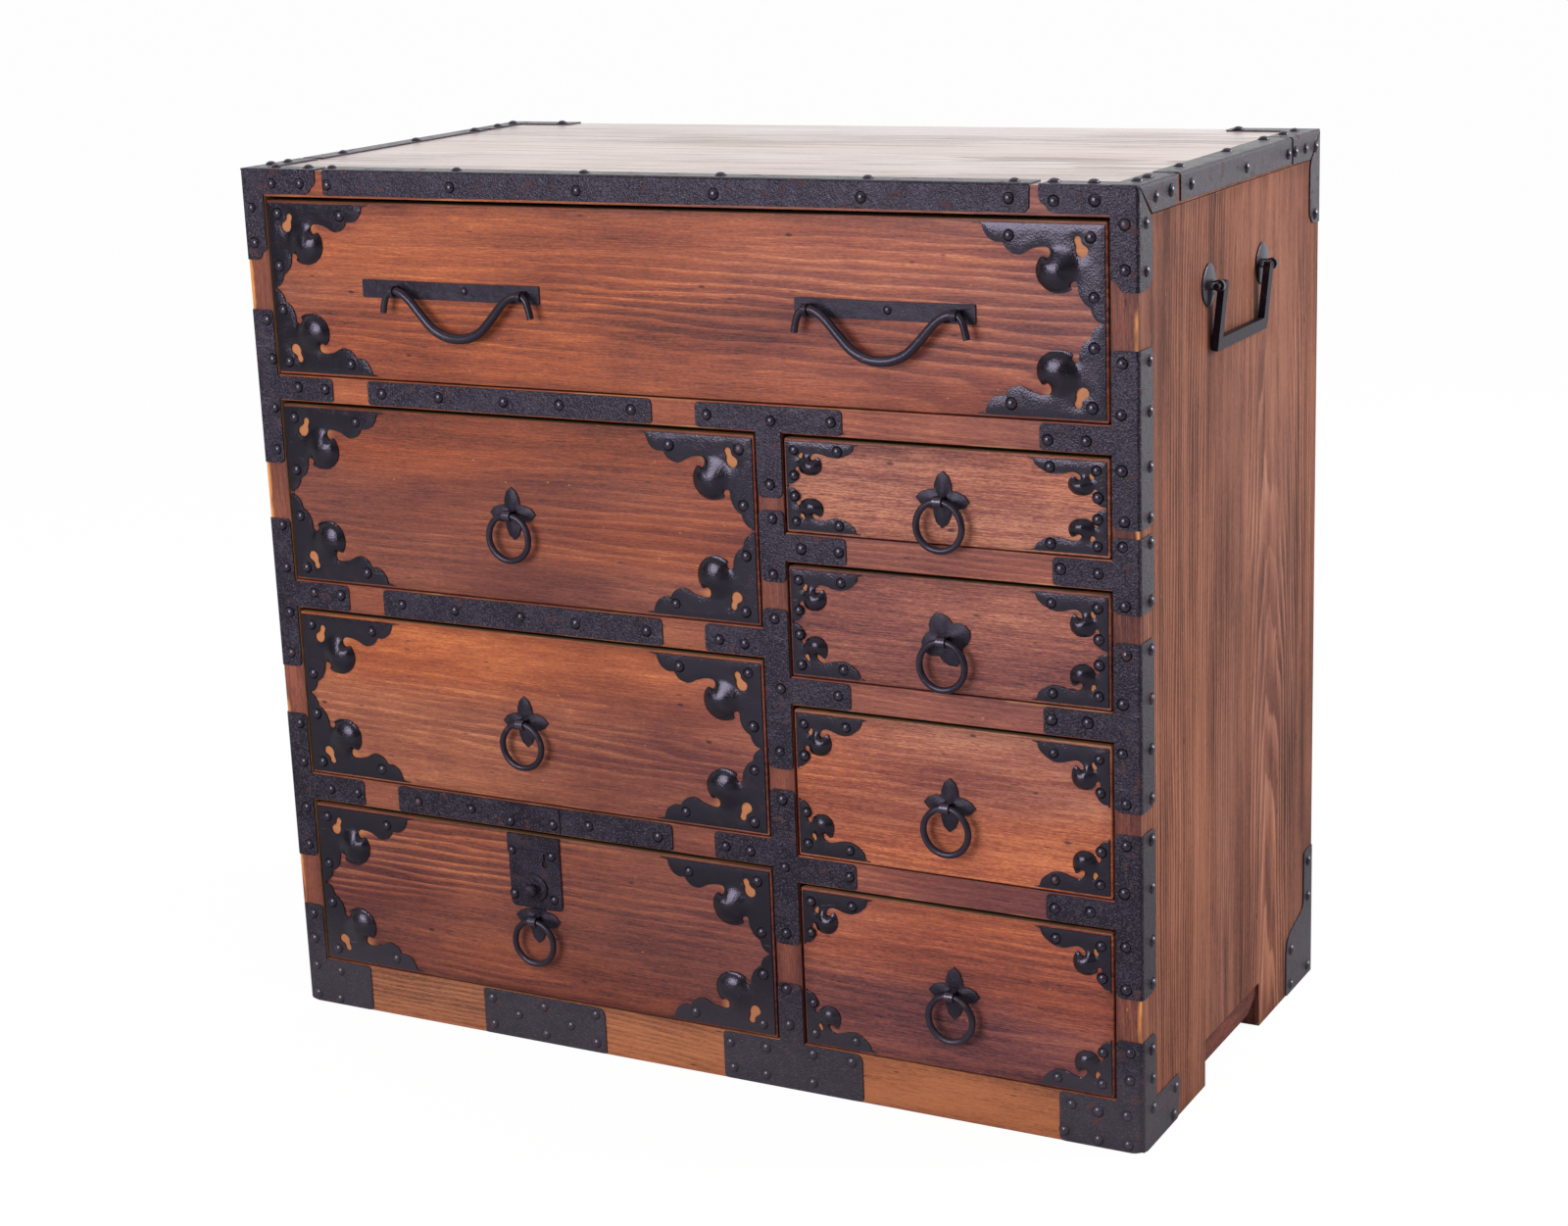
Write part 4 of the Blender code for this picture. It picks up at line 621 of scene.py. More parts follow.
def cut_sheet(points, thickness=IRON, edge=0.35 * MM, both=False, holes=()):
    """A flat shape with the outline given, lying with its back on the XY plane and its front rim eased."""
    shape = bmesh.new()
    for loop in (points, *holes):
        verts = [shape.verts.new((*point, 0)) for point in loop]
        edges = [shape.edges.new(pair) for pair in zip(verts, verts[1:] + verts[:1])]
    if holes:
        bmesh.ops.triangle_fill(shape, use_beauty=True, edges=shape.edges[:])
    else:
        bmesh.ops.contextual_create(shape, geom=edges)
    grown = bmesh.ops.extrude_face_region(shape, geom=shape.faces[:])
    bmesh.ops.translate(shape, vec=(0, 0, thickness), verts=only_verts(grown))
    outward(shape)
    rim = []
    for item in shape.edges:
        low, high = sorted(vert.co.z for vert in item.verts)
        sharp = len(item.link_faces) == 2 and item.calc_face_angle() > SHARP
        if sharp and high - low < 1e-7 and (both or low > thickness / 2):
            rim.append(item)
    bmesh.ops.bevel(shape, geom=rim, offset=edge, segments=2, profile=0.5, affect="EDGES", material=-1,
                    clamp_overlap=True)
    return shape


def lay(shape, origin, across, up, out):
    """Put a flat shape in place: its X along across, its Y along up and its thickness along out."""
    turn = Matrix((across, up, out)).transposed().to_4x4()
    bmesh.ops.transform(shape, matrix=Matrix.Translation(origin) @ turn, verts=shape.verts)
    return outward(shape)


print(len(outline([(0, 0, 2), (10, 0, 2), (10, 10, 2), (0, 10, 2)])), "points in a rounded square")

# %% The side boards
X, Y, Z = Vector((1, 0, 0)), Vector((0, 1, 0)), Vector((0, 0, 1))
SIDES = ((-1, "left"), (1, "right"))
THICKNESS = OUTER_X - INNER_X
DEPTH = (CASE_BACK - CASE_FRONT) / MM
SIDE_TOP = (TOP_UNDERSIDE - FIT) / MM
NOTCH_HALF, NOTCH_TOP = 74.5, 45
NOTCH_START = DEPTH / 2 - NOTCH_HALF
NOTCH_END = DEPTH - NOTCH_START
NOTCH_BOARD_LOW, NOTCH_PLAY, NOTCH_RECESS = 20, 0.4, 3.5 * MM
side_outline = [(0, 0, 7), (NOTCH_START, 0, 2), (NOTCH_START, NOTCH_TOP, 2), (NOTCH_END, NOTCH_TOP, 2),
                (NOTCH_END, 0, 2), (DEPTH, 0, 4), (DEPTH, SIDE_TOP, 0), (0, SIDE_TOP, 0)]
first, last, upper = NOTCH_START + NOTCH_PLAY, NOTCH_END - NOTCH_PLAY, NOTCH_TOP - NOTCH_PLAY
notch_outline = [(first, NOTCH_BOARD_LOW, 1), (first, upper, 1), (last, upper, 1), (last, 31, 1),
                 (NOTCH_END - 9, 28, 2), (NOTCH_END - 21, 21, 2), (NOTCH_END - 34, NOTCH_BOARD_LOW, 2)]
for side, stem in SIDES:
    name = stem + "_side_board"
    shape = cut_sheet(outline(side_outline), THICKNESS, 0.5 * MM, both=True)
    lay(shape, Vector((side * INNER_X, CASE_FRONT, 0)), Y, Z, side * X)
    for face in shape.faces:
        if face.normal.y < -0.8:
            face.material_index = 1
        elif face.normal.x * side < -0.8:
            face.material_index = 2
    finishes = (STILE_WOOD, STILE_FRONT_WOOD, INNER_WOOD)
    made = piece(name + "_sawn", shape, finishes, stands_for=(name,))
    low = Vector((min(side * INNER_X, side * OUTER_X), CASE_FRONT, 0))
    high = Vector((max(side * INNER_X, side * OUTER_X), CASE_BACK, TOP_UNDERSIDE))
    number_board(made, low, high, 1.0 + 0.6 * side)
    shape = cut_sheet(outline(notch_outline), THICKNESS - NOTCH_RECESS, 0.5 * MM, both=True)
    lay(shape, Vector((side * (INNER_X + FIT), CASE_FRONT, 0)), Y, Z, side * X)
    made = piece(stem + "_notch_board", shape, NOTCH_WOOD)
    low += Vector((0, NOTCH_START, NOTCH_BOARD_LOW)) * MM
    high = Vector((high.x, CASE_FRONT + NOTCH_END * MM, NOTCH_TOP * MM))
    number_board(made, low, high, 12.2 + side)
print("side boards with a notch", round(NOTCH_END - NOTCH_START, 1), "mm long")

# %% [markdown]
# The other case boards are plain planks. A shelf in a stack is a thick front rail with a thin board behind it. On
# the photograph only the rails' front edges show; the thin boards are seen when a drawer is pulled.

# %% The top board, the partition, the shelves and the base rail
low, high = Vector((-OUTER_X, CASE_FRONT, TOP_UNDERSIDE)), Vector((OUTER_X, CASE_BACK, CASE_TOP))
shape = plank(low, high)
for face in shape.faces:
    face.material_index = 0 if face.normal.z > 0.5 else 1 if abs(face.normal.x) < 0.5 else 2
made = piece("top_board_wood", shape, (TOP_WOOD, RAIL_WOOD, STILE_WOOD),
             stands_for=("top_board",))
number_board(made, low, high, 3.1, 0.08)
PLAIN_BOARDS = (("centre_partition", "partition_wood", PARTITION_WOOD, "case_wood", 4.4, 0.0),
                ("full_shelf", "full_shelf_wood", RAIL_WOOD, "case_wood", 5.2, 0.12),
                ("base_front_rail", "base_rail_wood", BASE_WOOD, "base_wood", 6.3, 0.0))
for node, name, finish, slot, number, tone in PLAIN_BOARDS:
    low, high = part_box(node)
    low.y = CASE_FRONT
    board(name, low, high, finish, number, stands_for=(node,), tone=tone)
RAILS = ("left_shelf_lower", "left_shelf_upper", "right_shelf_lower", "right_shelf_middle",
         "right_shelf_upper")
TONGUE, RAIL_DEPTH, SHELF_THICKNESS = 6 * MM, 32 * MM, 8 * MM
for index, name in enumerate(RAILS):
    low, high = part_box(name)
    left, right = low.x + TONGUE, high.x - TONGUE
    board(name + "_rail", (left, CASE_FRONT, low.z), (right, CASE_FRONT + RAIL_DEPTH, high.z), RAIL_WOOD,
          7.1 + index, stands_for=(name,), tone=0.10)
    start = (left, CASE_FRONT + RAIL_DEPTH - 1 * MM, high.z - SHELF_THICKNESS)
    board(name + "_floor", start, (right, high.y, high.z - 0.1 * MM), INNER_WOOD, 17.1 + index,
          edge=0.3 * MM)
print(2 + len(PLAIN_BOARDS) + 2 * len(RAILS), "boards in the case")

# %% [markdown]
# ## Drawer fronts
# Each front is one board with a soft edge all round. Only its face is stained; the top edge, which shows as a pale
# line in the gap above the drawer, was left as it was planed. A few millimetres back from the face its edges are
# painted dark, as painted shade with some dirt in the gap. The trays behind stay CAD solids and get a plain
# unfinished wood.

# %% The drawers
DRAWERS = [name for name in frame["bodies"] if name.endswith("_drawer")]
DRAWER_LOOKS = {  # tone, lines and fibre of each front
    "top_drawer": (0.06, 1.1, 1.1),
    "left_upper_drawer": (0.03, 0.7, 1.0),
    "left_middle_drawer": (0.31, 1.0, 1.1),
    "left_lower_drawer": (-0.04, 1.5, 1.0),
    "right_upper_drawer": (0.31, 0.5, 2.0),
    "right_second_drawer": (0.17, 0.5, 1.6),
    "right_third_drawer": (0.28, 0.9, 1.5),
    "right_lower_drawer": (0.05, 1.4, 1.2),
}
GAP_MORE = 0.6 * MM
WIDE = 400 * MM
PLATE_REACH = {"large": 62 * MM, "small": 36 * MM}
fronts = {}


def plate_kind(drawer):
    """The wide drawers wear large corner plates and the narrow ones small."""
    low, high = fronts[drawer]
    return "large" if high.x - low.x > WIDE else "small"


for index, drawer in enumerate(DRAWERS):
    low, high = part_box(drawer + "_front")
    low.y = CASE_FRONT
    fronts[drawer] = (low, high)
    shape = plank(low + X * GAP_MORE, high - X * GAP_MORE, 1.3 * MM, 3)
    for face in shape.faces:
        face.material_index = 1 if face.normal.z > 0.9 else 0
    finishes = (DRAWER_WOOD, DRAWER_EDGE_WOOD)
    made = piece(drawer + "_face", shape, finishes, drawer, (drawer + "_front",))
    tone, lines, fibre = DRAWER_LOOKS[drawer]
    number_board(made, low, high, 21.3 + 1.7 * index, tone, PLATE_REACH[plate_kind(drawer)], lines, fibre)
    frame["nodes"][drawer + "_tray"].data.materials[0] = TRAY_WOOD
for name, finish in (("back_panel", PANEL_WOOD), ("bottom_board", INNER_WOOD), ("base_back_rail", INNER_WOOD),
                     ("base_left_cleat", TRAY_WOOD), ("base_right_cleat", TRAY_WOOD)):
    frame["nodes"][name].data.materials[0] = finish
print(len(fronts), "drawer fronts")

# %% [markdown]
# ## Sheet irons of the case
# A smith cuts each plate flat, then bends it over the edge of the board. The same is done here: the flat pattern has
# its fold at zero, a few cuts are made across the fold, and its points are carried round a small arc. Straps and
# tees that lie on one face only are left flat.

# %% Bend a flat iron over an edge
BEND = 2 * MM


def slice_through(shape, point, way, near=1e-7, **settings):
    """Cut a shape with the plane through a point."""
    geometry = shape.verts[:] + shape.edges[:] + shape.faces[:]
    bmesh.ops.bisect_plane(shape, geom=geometry, dist=near, plane_co=point, plane_no=way, **settings)


def bent_sheet(corners, corner, along, first, second, radius=BEND):
    """Iron bent over an edge: pattern X below zero lies on the first face, above zero on the second."""
    shape = cut_sheet(outline(corners))
    for share in (-1, -0.5, 0, 0.5, 1):
        slice_through(shape, (share * radius, 0, 0), (1, 0, 0))
    centre = Vector(corner) + (first + second) * radius
    for vert in shape.verts:
        reach, height, lift = vert.co
        angle = (min(max(reach, -radius), radius) / radius + 1) * math.pi / 4
        spot = centre - (second * math.cos(angle) + first * math.sin(angle)) * (radius + lift)
        spot += first * max(-reach - radius, 0) + second * max(reach - radius, 0) + along * height
        vert.co = spot
    return outward(shape)


def joined(*shapes):
    """Several bmeshes in one."""
    whole = bmesh.new()
    for shape in shapes:
        mesh = bpy.data.meshes.new("joined")
        shape.to_mesh(mesh)
        shape.free()
        whole.from_mesh(mesh)
        bpy.data.meshes.remove(mesh)
    return whole


def front_sheet(corners, back=CASE_FRONT, thickness=IRON, edge=0.35 * MM):
    """Iron that faces the front with its back at the given y; corners are (x, z, radius) in millimetres."""
    return lay(cut_sheet(outline(corners), thickness, edge), Vector((0, back, 0)), X, Z, -Y)


def four_corners(left, right, low, high, radii):
    """Corners of an upright rectangle, round from the lower left one."""
    return list(zip((left, left, right, right), (low, high, high, low), radii))


# %% [markdown]
# At each rail a plate is wrapped round the front stile. It holds the joint from two sides, so it has a wing on the
# side board, and an arm runs from it along the rail.

# %% Plates that wrap the front stiles
EASE = 1.2
TO_STILE = (OUTER_X - INNER_X) / MM - 0.4
WING = 29


def rail_span(name):
    """Lowest and highest point of a rail's iron, in millimetres."""
    low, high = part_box(name)
    return low.z / MM + EASE, high.z / MM - EASE


def stile_plate(side, rail, height, arm):
    """Plate round a stile, with an arm along the rail."""
    low, high = rail_span(rail)
    middle = (low + high) / 2
    top, bottom = middle + height / 2, middle - height / 2
    corners = [(-TO_STILE - arm, low, 4), (-TO_STILE - arm, high, 5), (-TO_STILE, high, 0.8),
               (-TO_STILE, top, 5), (WING, top, 7), (WING, bottom, 9), (-TO_STILE, bottom, 7),
               (-TO_STILE, low, 0.8)]
    return bent_sheet(corners, (side * OUTER_X, CASE_FRONT, 0), Z, -side * X, Y)


TALL, SHORT = (149, 64), (65, 54)  # height of a plate and length of its arm
STILE_PLATES = (
    ("left_stile_plate_upper", -1, "full_shelf", TALL),
    ("left_stile_plate_middle", -1, "left_shelf_upper", TALL),
    ("left_stile_plate_lower", -1, "left_shelf_lower", TALL),
    ("right_stile_plate_top", 1, "full_shelf", TALL),
    ("right_stile_plate_upper", 1, "right_shelf_upper", SHORT),
    ("right_stile_plate_middle", 1, "right_shelf_middle", TALL),
    ("right_stile_plate_lower", 1, "right_shelf_lower", TALL),
)
for name, side, rail, (height, arm) in STILE_PLATES:
    piece(name, stile_plate(side, rail, height, arm), SHEET_IRON)
print(len(STILE_PLATES), "stile plates")

# %% [markdown]
# The foot plates are wrapped the same way. The front ones also reach along the base rail and back along the side
# board, and their lower rim is cut a little ragged.

# %% Plates that wrap the feet
FLOOR_EASE, FOOT_TOP, BACK_FOOT_TOP, FOOT_ARM, FOOT_REACH = 0.6, 105, 134, 54, 80
FOOT_FRONT = [(-TO_STILE - FOOT_ARM, FLOOR_EASE, 5), (-TO_STILE - FOOT_ARM, 47.4, 4), (-TO_STILE, 47.4, 0.8),
              (-TO_STILE, FOOT_TOP, 5), (WING, FOOT_TOP, 6), (WING, 42.5, 1.5), (86, 42.5, 2), (88, 30, 3),
              (84, FLOOR_EASE, 3), (30, FLOOR_EASE, 4), (8, FLOOR_EASE, 3), (0, 3.0, 3), (-8, FLOOR_EASE, 3)]
FOOT_BACK = [(-TO_STILE, FLOOR_EASE, 2), (-TO_STILE, BACK_FOOT_TOP, 5), (27, BACK_FOOT_TOP, 7), (27, 76, 9),
             (FOOT_REACH, 60, 16), (FOOT_REACH, FLOOR_EASE, 4)]
for side, stem in SIDES:
    foot = bent_sheet(FOOT_FRONT, (side * OUTER_X, CASE_FRONT, 0), Z, -side * X, Y, 4 * MM)
    piece(stem + "_front_foot_plate", foot, SHEET_IRON)
    foot = bent_sheet(FOOT_BACK, (side * OUTER_X, CASE_BACK, 0), Z, -side * X, -Y, 3 * MM)
    piece(stem + "_back_foot_plate", foot, SHEET_IRON)
print("four foot plates")

# %% [markdown]
# The rest of the front's irons lie flat: a strap in the middle of each wide rail, one on the base rail, a tee at
# each end of the partition, and plates where the rails of the two stacks meet it.

# %% Straps, tees and the plates on the partition
STRAPS = (("full_rail_strap", "full_shelf"), ("upper_left_rail_strap", "left_shelf_upper"),
          ("lower_left_rail_strap", "left_shelf_lower"))
BAY_X = PIVOTS["left_upper_ring"].x / MM
STRAP_HALF, BASE_STRAP_HALF = 155, 69.5
BASE_LOW, BASE_HIGH = 0.8, 47.4
for name, rail in STRAPS:
    corners = four_corners(BAY_X - STRAP_HALF, BAY_X + STRAP_HALF, *rail_span(rail), (3, 4, 5, 4))
    piece(name, front_sheet(corners), SHEET_IRON)
corners = four_corners(BAY_X - BASE_STRAP_HALF, BAY_X + BASE_STRAP_HALF, BASE_LOW, 47.2, (2, 3, 9, 3))
piece("base_strap", front_sheet(corners), SHEET_IRON)

low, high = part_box("centre_partition")
STEM_LEFT, STEM_RIGHT = low.x / MM + 0.4, high.x / MM - 0.4
ARM_LEFT, ARM_RIGHT = STEM_LEFT - 60, STEM_RIGHT + 60
TEE_STEM_LOW, BASE_TEE_TOP = 562.5, 106
low, high = rail_span("full_shelf")
TOP_TEE = [(ARM_LEFT, low, 4), (ARM_LEFT, high, 4), (ARM_RIGHT, high, 5), (ARM_RIGHT, low, 5),
           (STEM_RIGHT, low, 1), (STEM_RIGHT, TEE_STEM_LOW, 8), (STEM_LEFT, TEE_STEM_LOW, 7),
           (STEM_LEFT, low, 1)]
BASE_TEE = [(ARM_LEFT, BASE_LOW, 4), (ARM_LEFT, BASE_HIGH, 3), (STEM_LEFT, BASE_HIGH, 1),
            (STEM_LEFT, BASE_TEE_TOP, 6), (STEM_RIGHT, BASE_TEE_TOP, 6), (STEM_RIGHT, BASE_HIGH, 1),
            (ARM_RIGHT, BASE_HIGH, 8), (ARM_RIGHT, BASE_LOW, 5)]
piece("partition_tee_top", front_sheet(TOP_TEE), SHEET_IRON)
piece("partition_tee_base", front_sheet(BASE_TEE), SHEET_IRON)


def cross_plate(right_rail, height, left_rail=None):
    """Plate on the partition with an arm along the right rail and perhaps one along the left."""
    low, high = rail_span(right_rail)
    middle = (low + high) / 2
    corners = [(STEM_LEFT, middle + height / 2, 6), (STEM_RIGHT, middle + height / 2, 5),
               (STEM_RIGHT, high, 1), (ARM_RIGHT, high, 5), (ARM_RIGHT, low, 4), (STEM_RIGHT, low, 1),
               (STEM_RIGHT, middle - height / 2, 6), (STEM_LEFT, middle - height / 2, 7)]
    if left_rail:
        low, high = rail_span(left_rail)
        corners += [(STEM_LEFT, low, 1), (ARM_LEFT, low, 4), (ARM_LEFT, high, 5), (STEM_LEFT, high, 1)]
    return front_sheet(corners)


piece("partition_plate_upper", cross_plate("right_shelf_upper", SHORT[0]), SHEET_IRON)
piece("partition_plate_middle", cross_plate("right_shelf_middle", TALL[0], "left_shelf_upper"), SHEET_IRON)
piece("partition_plate_lower", cross_plate("right_shelf_lower", TALL[0], "left_shelf_lower"), SHEET_IRON)
print(len(STRAPS) + 6, "straps, tees and plates on the front")

# %% [markdown]
# The top board is bound with a long strip on its front edge and one on each side, and with four corner plates. A
# corner plate covers three faces, so it is made of three leaves: an L on the front with a wing bent round the stile,
# a leaf on the board's end, bent over onto the top, and a leaf on the top along the front. The ends of the L have
# the small curved cut that such plates have. The back corners are the front ones turned round.

# %% Top strips
TOP_MM = CASE_TOP / MM
STRIP_DROP = TOP_MM - 817.5
STRIP_TOP = 24
front_strip = [(-STRIP_DROP, -356, 3), (-STRIP_DROP, 352, 1), (-STRIP_DROP + 4, 356, 1), (0, 356.5, 0),
               (STRIP_TOP, 357, 2), (STRIP_TOP, -356, 2)]
piece("top_front_strip", bent_sheet(front_strip, (0, CASE_FRONT, CASE_TOP), X, -Z, Y), SHEET_IRON)
side_strip = four_corners(-STRIP_DROP, STRIP_TOP, 94, DEPTH - 84, (2, 2, 2, 2))
for side, stem in SIDES:
    strip = bent_sheet(side_strip, (side * OUTER_X, CASE_FRONT, CASE_TOP), Y, -Z, -side * X)
    piece(f"top_{stem}_strip", strip, SHEET_IRON)

# %% Top corner plates
ARM_REACH = TO_STILE + 62
LEG_END = [(-13, 755, 1.2), (-16, 758, 1.5), (-17, 761, 1.5), (-19.5, 763, 1.5), (-TO_STILE, 765, 1)]
ARM_END = [(-TO_STILE, 817.6, 0.8), (-TO_STILE - 49, 817.6, 1.2), (-TO_STILE - 54, 820, 1.5),
           (-TO_STILE - 56, 823.5, 1.5), (-TO_STILE - 60, 826, 1.5), (-ARM_REACH, 830, 2)]
CORNER_WING = [(-ARM_REACH, TOP_MM, 0), (0, TOP_MM, 0), (26, 814, 1), (WING, 808, 2), (WING, 763, 5),
               (20, 756, 3), (4, 755, 0)]
END_LEAF = [(-STRIP_DROP - 2, 29, 2), (-STRIP_DROP - 1, 85, 2), (0, 87, 0), (STRIP_TOP, 88, 2),
            (STRIP_TOP, 1, 0), (0, 1, 0)]
TOP_LEAF = [(0, 0, 0), (ARM_REACH, 0, 0), (ARM_REACH, 20, 3), (TO_STILE + 58, STRIP_TOP, 1.5),
            (0, STRIP_TOP, 0)]
for side, stem in SIDES:
    for way, end, length in ((1, "front", 88), (-1, "back", 80)):
        face_y = CASE_FRONT if way > 0 else CASE_BACK
        corners = LEG_END + ARM_END + CORNER_WING
        shell = bent_sheet(corners, (side * OUTER_X, face_y, 0), Z, -side * X, way * Y)
        leaf = [(drop, min(reach, length), radius) for drop, reach, radius in END_LEAF]
        leaf = bent_sheet(leaf, (side * OUTER_X, face_y, CASE_TOP), way * Y, -Z, -side * X)
        top = cut_sheet(outline(TOP_LEAF))
        seat = Vector((side * (OUTER_X + FIT), face_y - way * IRON * 0.9, CASE_TOP - 0.2 * MM))
        lay(top, seat, -side * X, way * Y, Z)
        piece(f"{stem}_{end}_top_corner_plate", joined(shell, leaf, top), SHEET_IRON)
print("top strips and corner plates")

# %% [markdown]
# ## Nails
# More than three hundred nails with domed heads hold the irons. They are small, so a low dome of a few dozen faces
# is enough. It sits on a flat dark ring that is old grime and painted shade where the head meets the iron. One nail
# is made, and copies of it are turned to face out of each plate, with a slight difference in size and seat, as
# hand-driven nails have.

# %% Drive the nails
NAIL_RADIUS, NAIL_DOME = 4.8 * MM, 0.62
DARK_RIM_WIDE, DARK_RIM_NARROW, DARK_RIM_DEPTH = 1.22, 1.05, 0.5 * MM
dome = bmesh.new()
bmesh.ops.create_uvsphere(dome, u_segments=12, v_segments=8, radius=1)
slice_through(dome, (0, 0, 0), (0, 0, 1), near=1e-6, clear_inner=True)
bmesh.ops.scale(dome, vec=(NAIL_RADIUS, NAIL_RADIUS, NAIL_RADIUS * NAIL_DOME), verts=dome.verts)
bmesh.ops.holes_fill(dome, edges=dome.edges[:], sides=0)
head = set(dome.faces)
# The flat ring under the head is dark: old grime, and painted shade at the nail's foot.
bmesh.ops.create_cone(dome, cap_ends=True, segments=12, radius1=NAIL_RADIUS * DARK_RIM_WIDE,
                      radius2=NAIL_RADIUS * DARK_RIM_NARROW, depth=DARK_RIM_DEPTH)
for face in dome.faces:
    face.material_index = 0 if face in head else 1
NAIL = bpy.data.meshes.new("nail_head")
dome.to_mesh(NAIL)
dome.free()
chance = random.Random(7)


def nails(name, places, body="root", size=1.0):
    """One piece with a nail at each place; a place is a point on the iron and the way that the head faces."""
    whole = bmesh.new()
    for point, out in places:
        before = len(whole.verts)
        whole.from_mesh(NAIL)
        whole.verts.ensure_lookup_table()
        fresh = whole.verts[before:]
        scale = size * chance.uniform(0.93, 1.07)
        lean = Vector(out) + Vector([chance.uniform(-0.07, 0.07) for _ in range(3)])
        turn = lean.to_track_quat("Z", "Y").to_matrix().to_4x4()
        bmesh.ops.transform(whole, matrix=Matrix.Translation(point) @ turn @ Matrix.Scale(scale, 4),
                            verts=fresh)
    return piece(name, whole, (NAIL_IRON, FOOT_DIRT_AND_SHADE), body, flat=False)


def on_front(*pairs):
    """Places on the front irons from (x, z) in millimetres."""
    return [(Vector((x * MM, CASE_FRONT - IRON, z * MM)), -Y) for x, z in pairs]


def on_side(side, *pairs):
    """Places on the irons of a side from (distance from the front, z) in millimetres."""
    return [(Vector((side * (OUTER_X + IRON), CASE_FRONT + y * MM, z * MM)), side * X) for y, z in pairs]


def on_top(*pairs):
    """Places on the top irons from (x, distance from the front) in millimetres."""
    return [(Vector((x * MM, CASE_FRONT + y * MM, CASE_TOP + IRON)), Z) for x, y in pairs]


# %% [markdown]
# The nails stand where the photograph shows them. On the front their places are x and z in millimetres.

# %% Nails of the case's front
nails("left_stile_nails", on_front((-415, 827), (-382, 828), (-441, 804), (-440, 771), (-433, 698),
                                   (-431, 660), (-433, 613), (-434, 572), (-403, 634), (-371, 634),
                                   (-436, 497), (-435, 455), (-436, 409), (-438, 368), (-404, 432),
                                   (-372, 432), (-435, 296), (-434, 256), (-435, 208), (-436, 169),
                                   (-403, 231), (-371, 231), (-438, 95), (-439, 68), (-439, 39), (-410, 37),
                                   (-440, 9), (-413, 7)))
nails("right_stile_nails", on_front((378, 827), (414, 829), (439, 810), (439, 773), (436, 697), (435, 655),
                                    (435, 608), (437, 566), (370, 630), (404, 631), (436, 544), (437, 494),
                                    (380, 521), (414, 520), (438, 452), (435, 409), (434, 365), (437, 321),
                                    (370, 389), (403, 389), (437, 284), (435, 241), (436, 192), (436, 153),
                                    (371, 218), (404, 219), (439, 95), (439, 69), (384, 37), (409, 35),
                                    (436, 35), (377, 11), (409, 8), (437, 8)))
nails("front_strip_nails", on_front((-350, 827), (-213, 827), (-77, 827), (62, 827), (204, 827), (338, 829)))
nails("rail_nails", on_front((-305, 633), (-241, 633), (-169, 633), (-108, 633), (-32, 633), (-300, 429),
                             (-239, 429), (-165, 429), (-104, 429), (-28, 429), (-298, 231), (-236, 231),
                             (-103, 231), (-27, 231), (-226, 38), (-196, 25), (-166, 38), (-107, 40),
                             (-226, 11), (-165, 10), (-136, 24), (-108, 11)))
nails("partition_nails", on_front((45, 633), (109, 631), (168, 633), (106, 574), (107, 544), (106, 493),
                                  (135, 519), (172, 519), (106, 453), (109, 388), (106, 329), (167, 388),
                                  (48, 428), (74, 427), (106, 284), (106, 219), (105, 155), (172, 219),
                                  (45, 231), (71, 230), (103, 100), (104, 65), (41, 37), (79, 38), (128, 40),
                                  (168, 39), (43, 12), (78, 11), (127, 11)))

# %% [markdown]
# The left side and the back aren't seen in the photograph. The left side's nails mirror the right one's at the
# heights of its own front, and the back's irons get a nail at each end.

# %% Nails of the sides, the top and the back
SIDE_HEIGHTS = {-1: (698, 660, 613, 572, 497, 455, 409, 368, 296, 256, 208, 169),
                1: (697, 655, 608, 566, 544, 494, 452, 409, 365, 321, 284, 241, 192, 153)}
BACK_NAILS = ((438, 826), (438, 800), (438, 768), (438, 120), (438, 85), (438, 12), (380, 829), (410, 829))
EDGE_NAILS = ((434, 138), (433, 259), (431, 363), (434, 410), (434, 440), (377, 448), (437, 55))
for side, stem in SIDES:
    wings = [(21, z) for z in SIDE_HEIGHTS[side]] + [(14, 809), (15, 771), (20, 92), (21, 64), (22, 36)]
    rest = [(36, 828), (71, 829), (119, 829), (257, 828), (371, 827), (DEPTH - 74, 827), (DEPTH - 44, 827),
            (DEPTH - 15, 826), (DEPTH - 14, 764), (77, 33), (72, 8), (DEPTH - 14, 122), (DEPTH - 14, 84),
            (DEPTH - 66, 46), (DEPTH - 14, 10), (DEPTH - 66, 9)]
    nails(stem + "_side_nails", on_side(side, *wings, *rest))
    back = [(Vector((side * x * MM, CASE_BACK + IRON, z * MM)), Y) for x, z in BACK_NAILS]
    nails(stem + "_back_nails", back)
    nails(stem + "_top_nails", on_top(*((side * x, y) for x, y in EDGE_NAILS)))
nails("front_top_nails", on_top((-440, 32), (-419, 13), (-381, 13), (-354, 13), (-213, 12), (-77, 12),
                                (62, 12), (204, 12), (338, 12), (373, 13), (407, 13), (438, 30)))
so_far = sum(len(made.data.vertices) for made in bpy.data.objects if made.name.endswith("_nails"))
print(so_far // len(NAIL.vertices), "nails so far")

# %% [markdown]
# ## Cut-out corner plates of the drawers
# Every drawer corner wears a plate cut to curls, with a round boss beaten up from behind and a small hole that shows
# the wood. A flat slab with a fine grid on top is cut to the outline with a boolean, and then the points of its
# face are lifted: a dome where the boss is, a soft belly that dies out at the cut rim, and slight dents. The rims
# are kept as close points in a tree, which finds the nearest one fast. Each plate is pushed out of true by a
# fraction of a millimetre, because they were cut by hand.

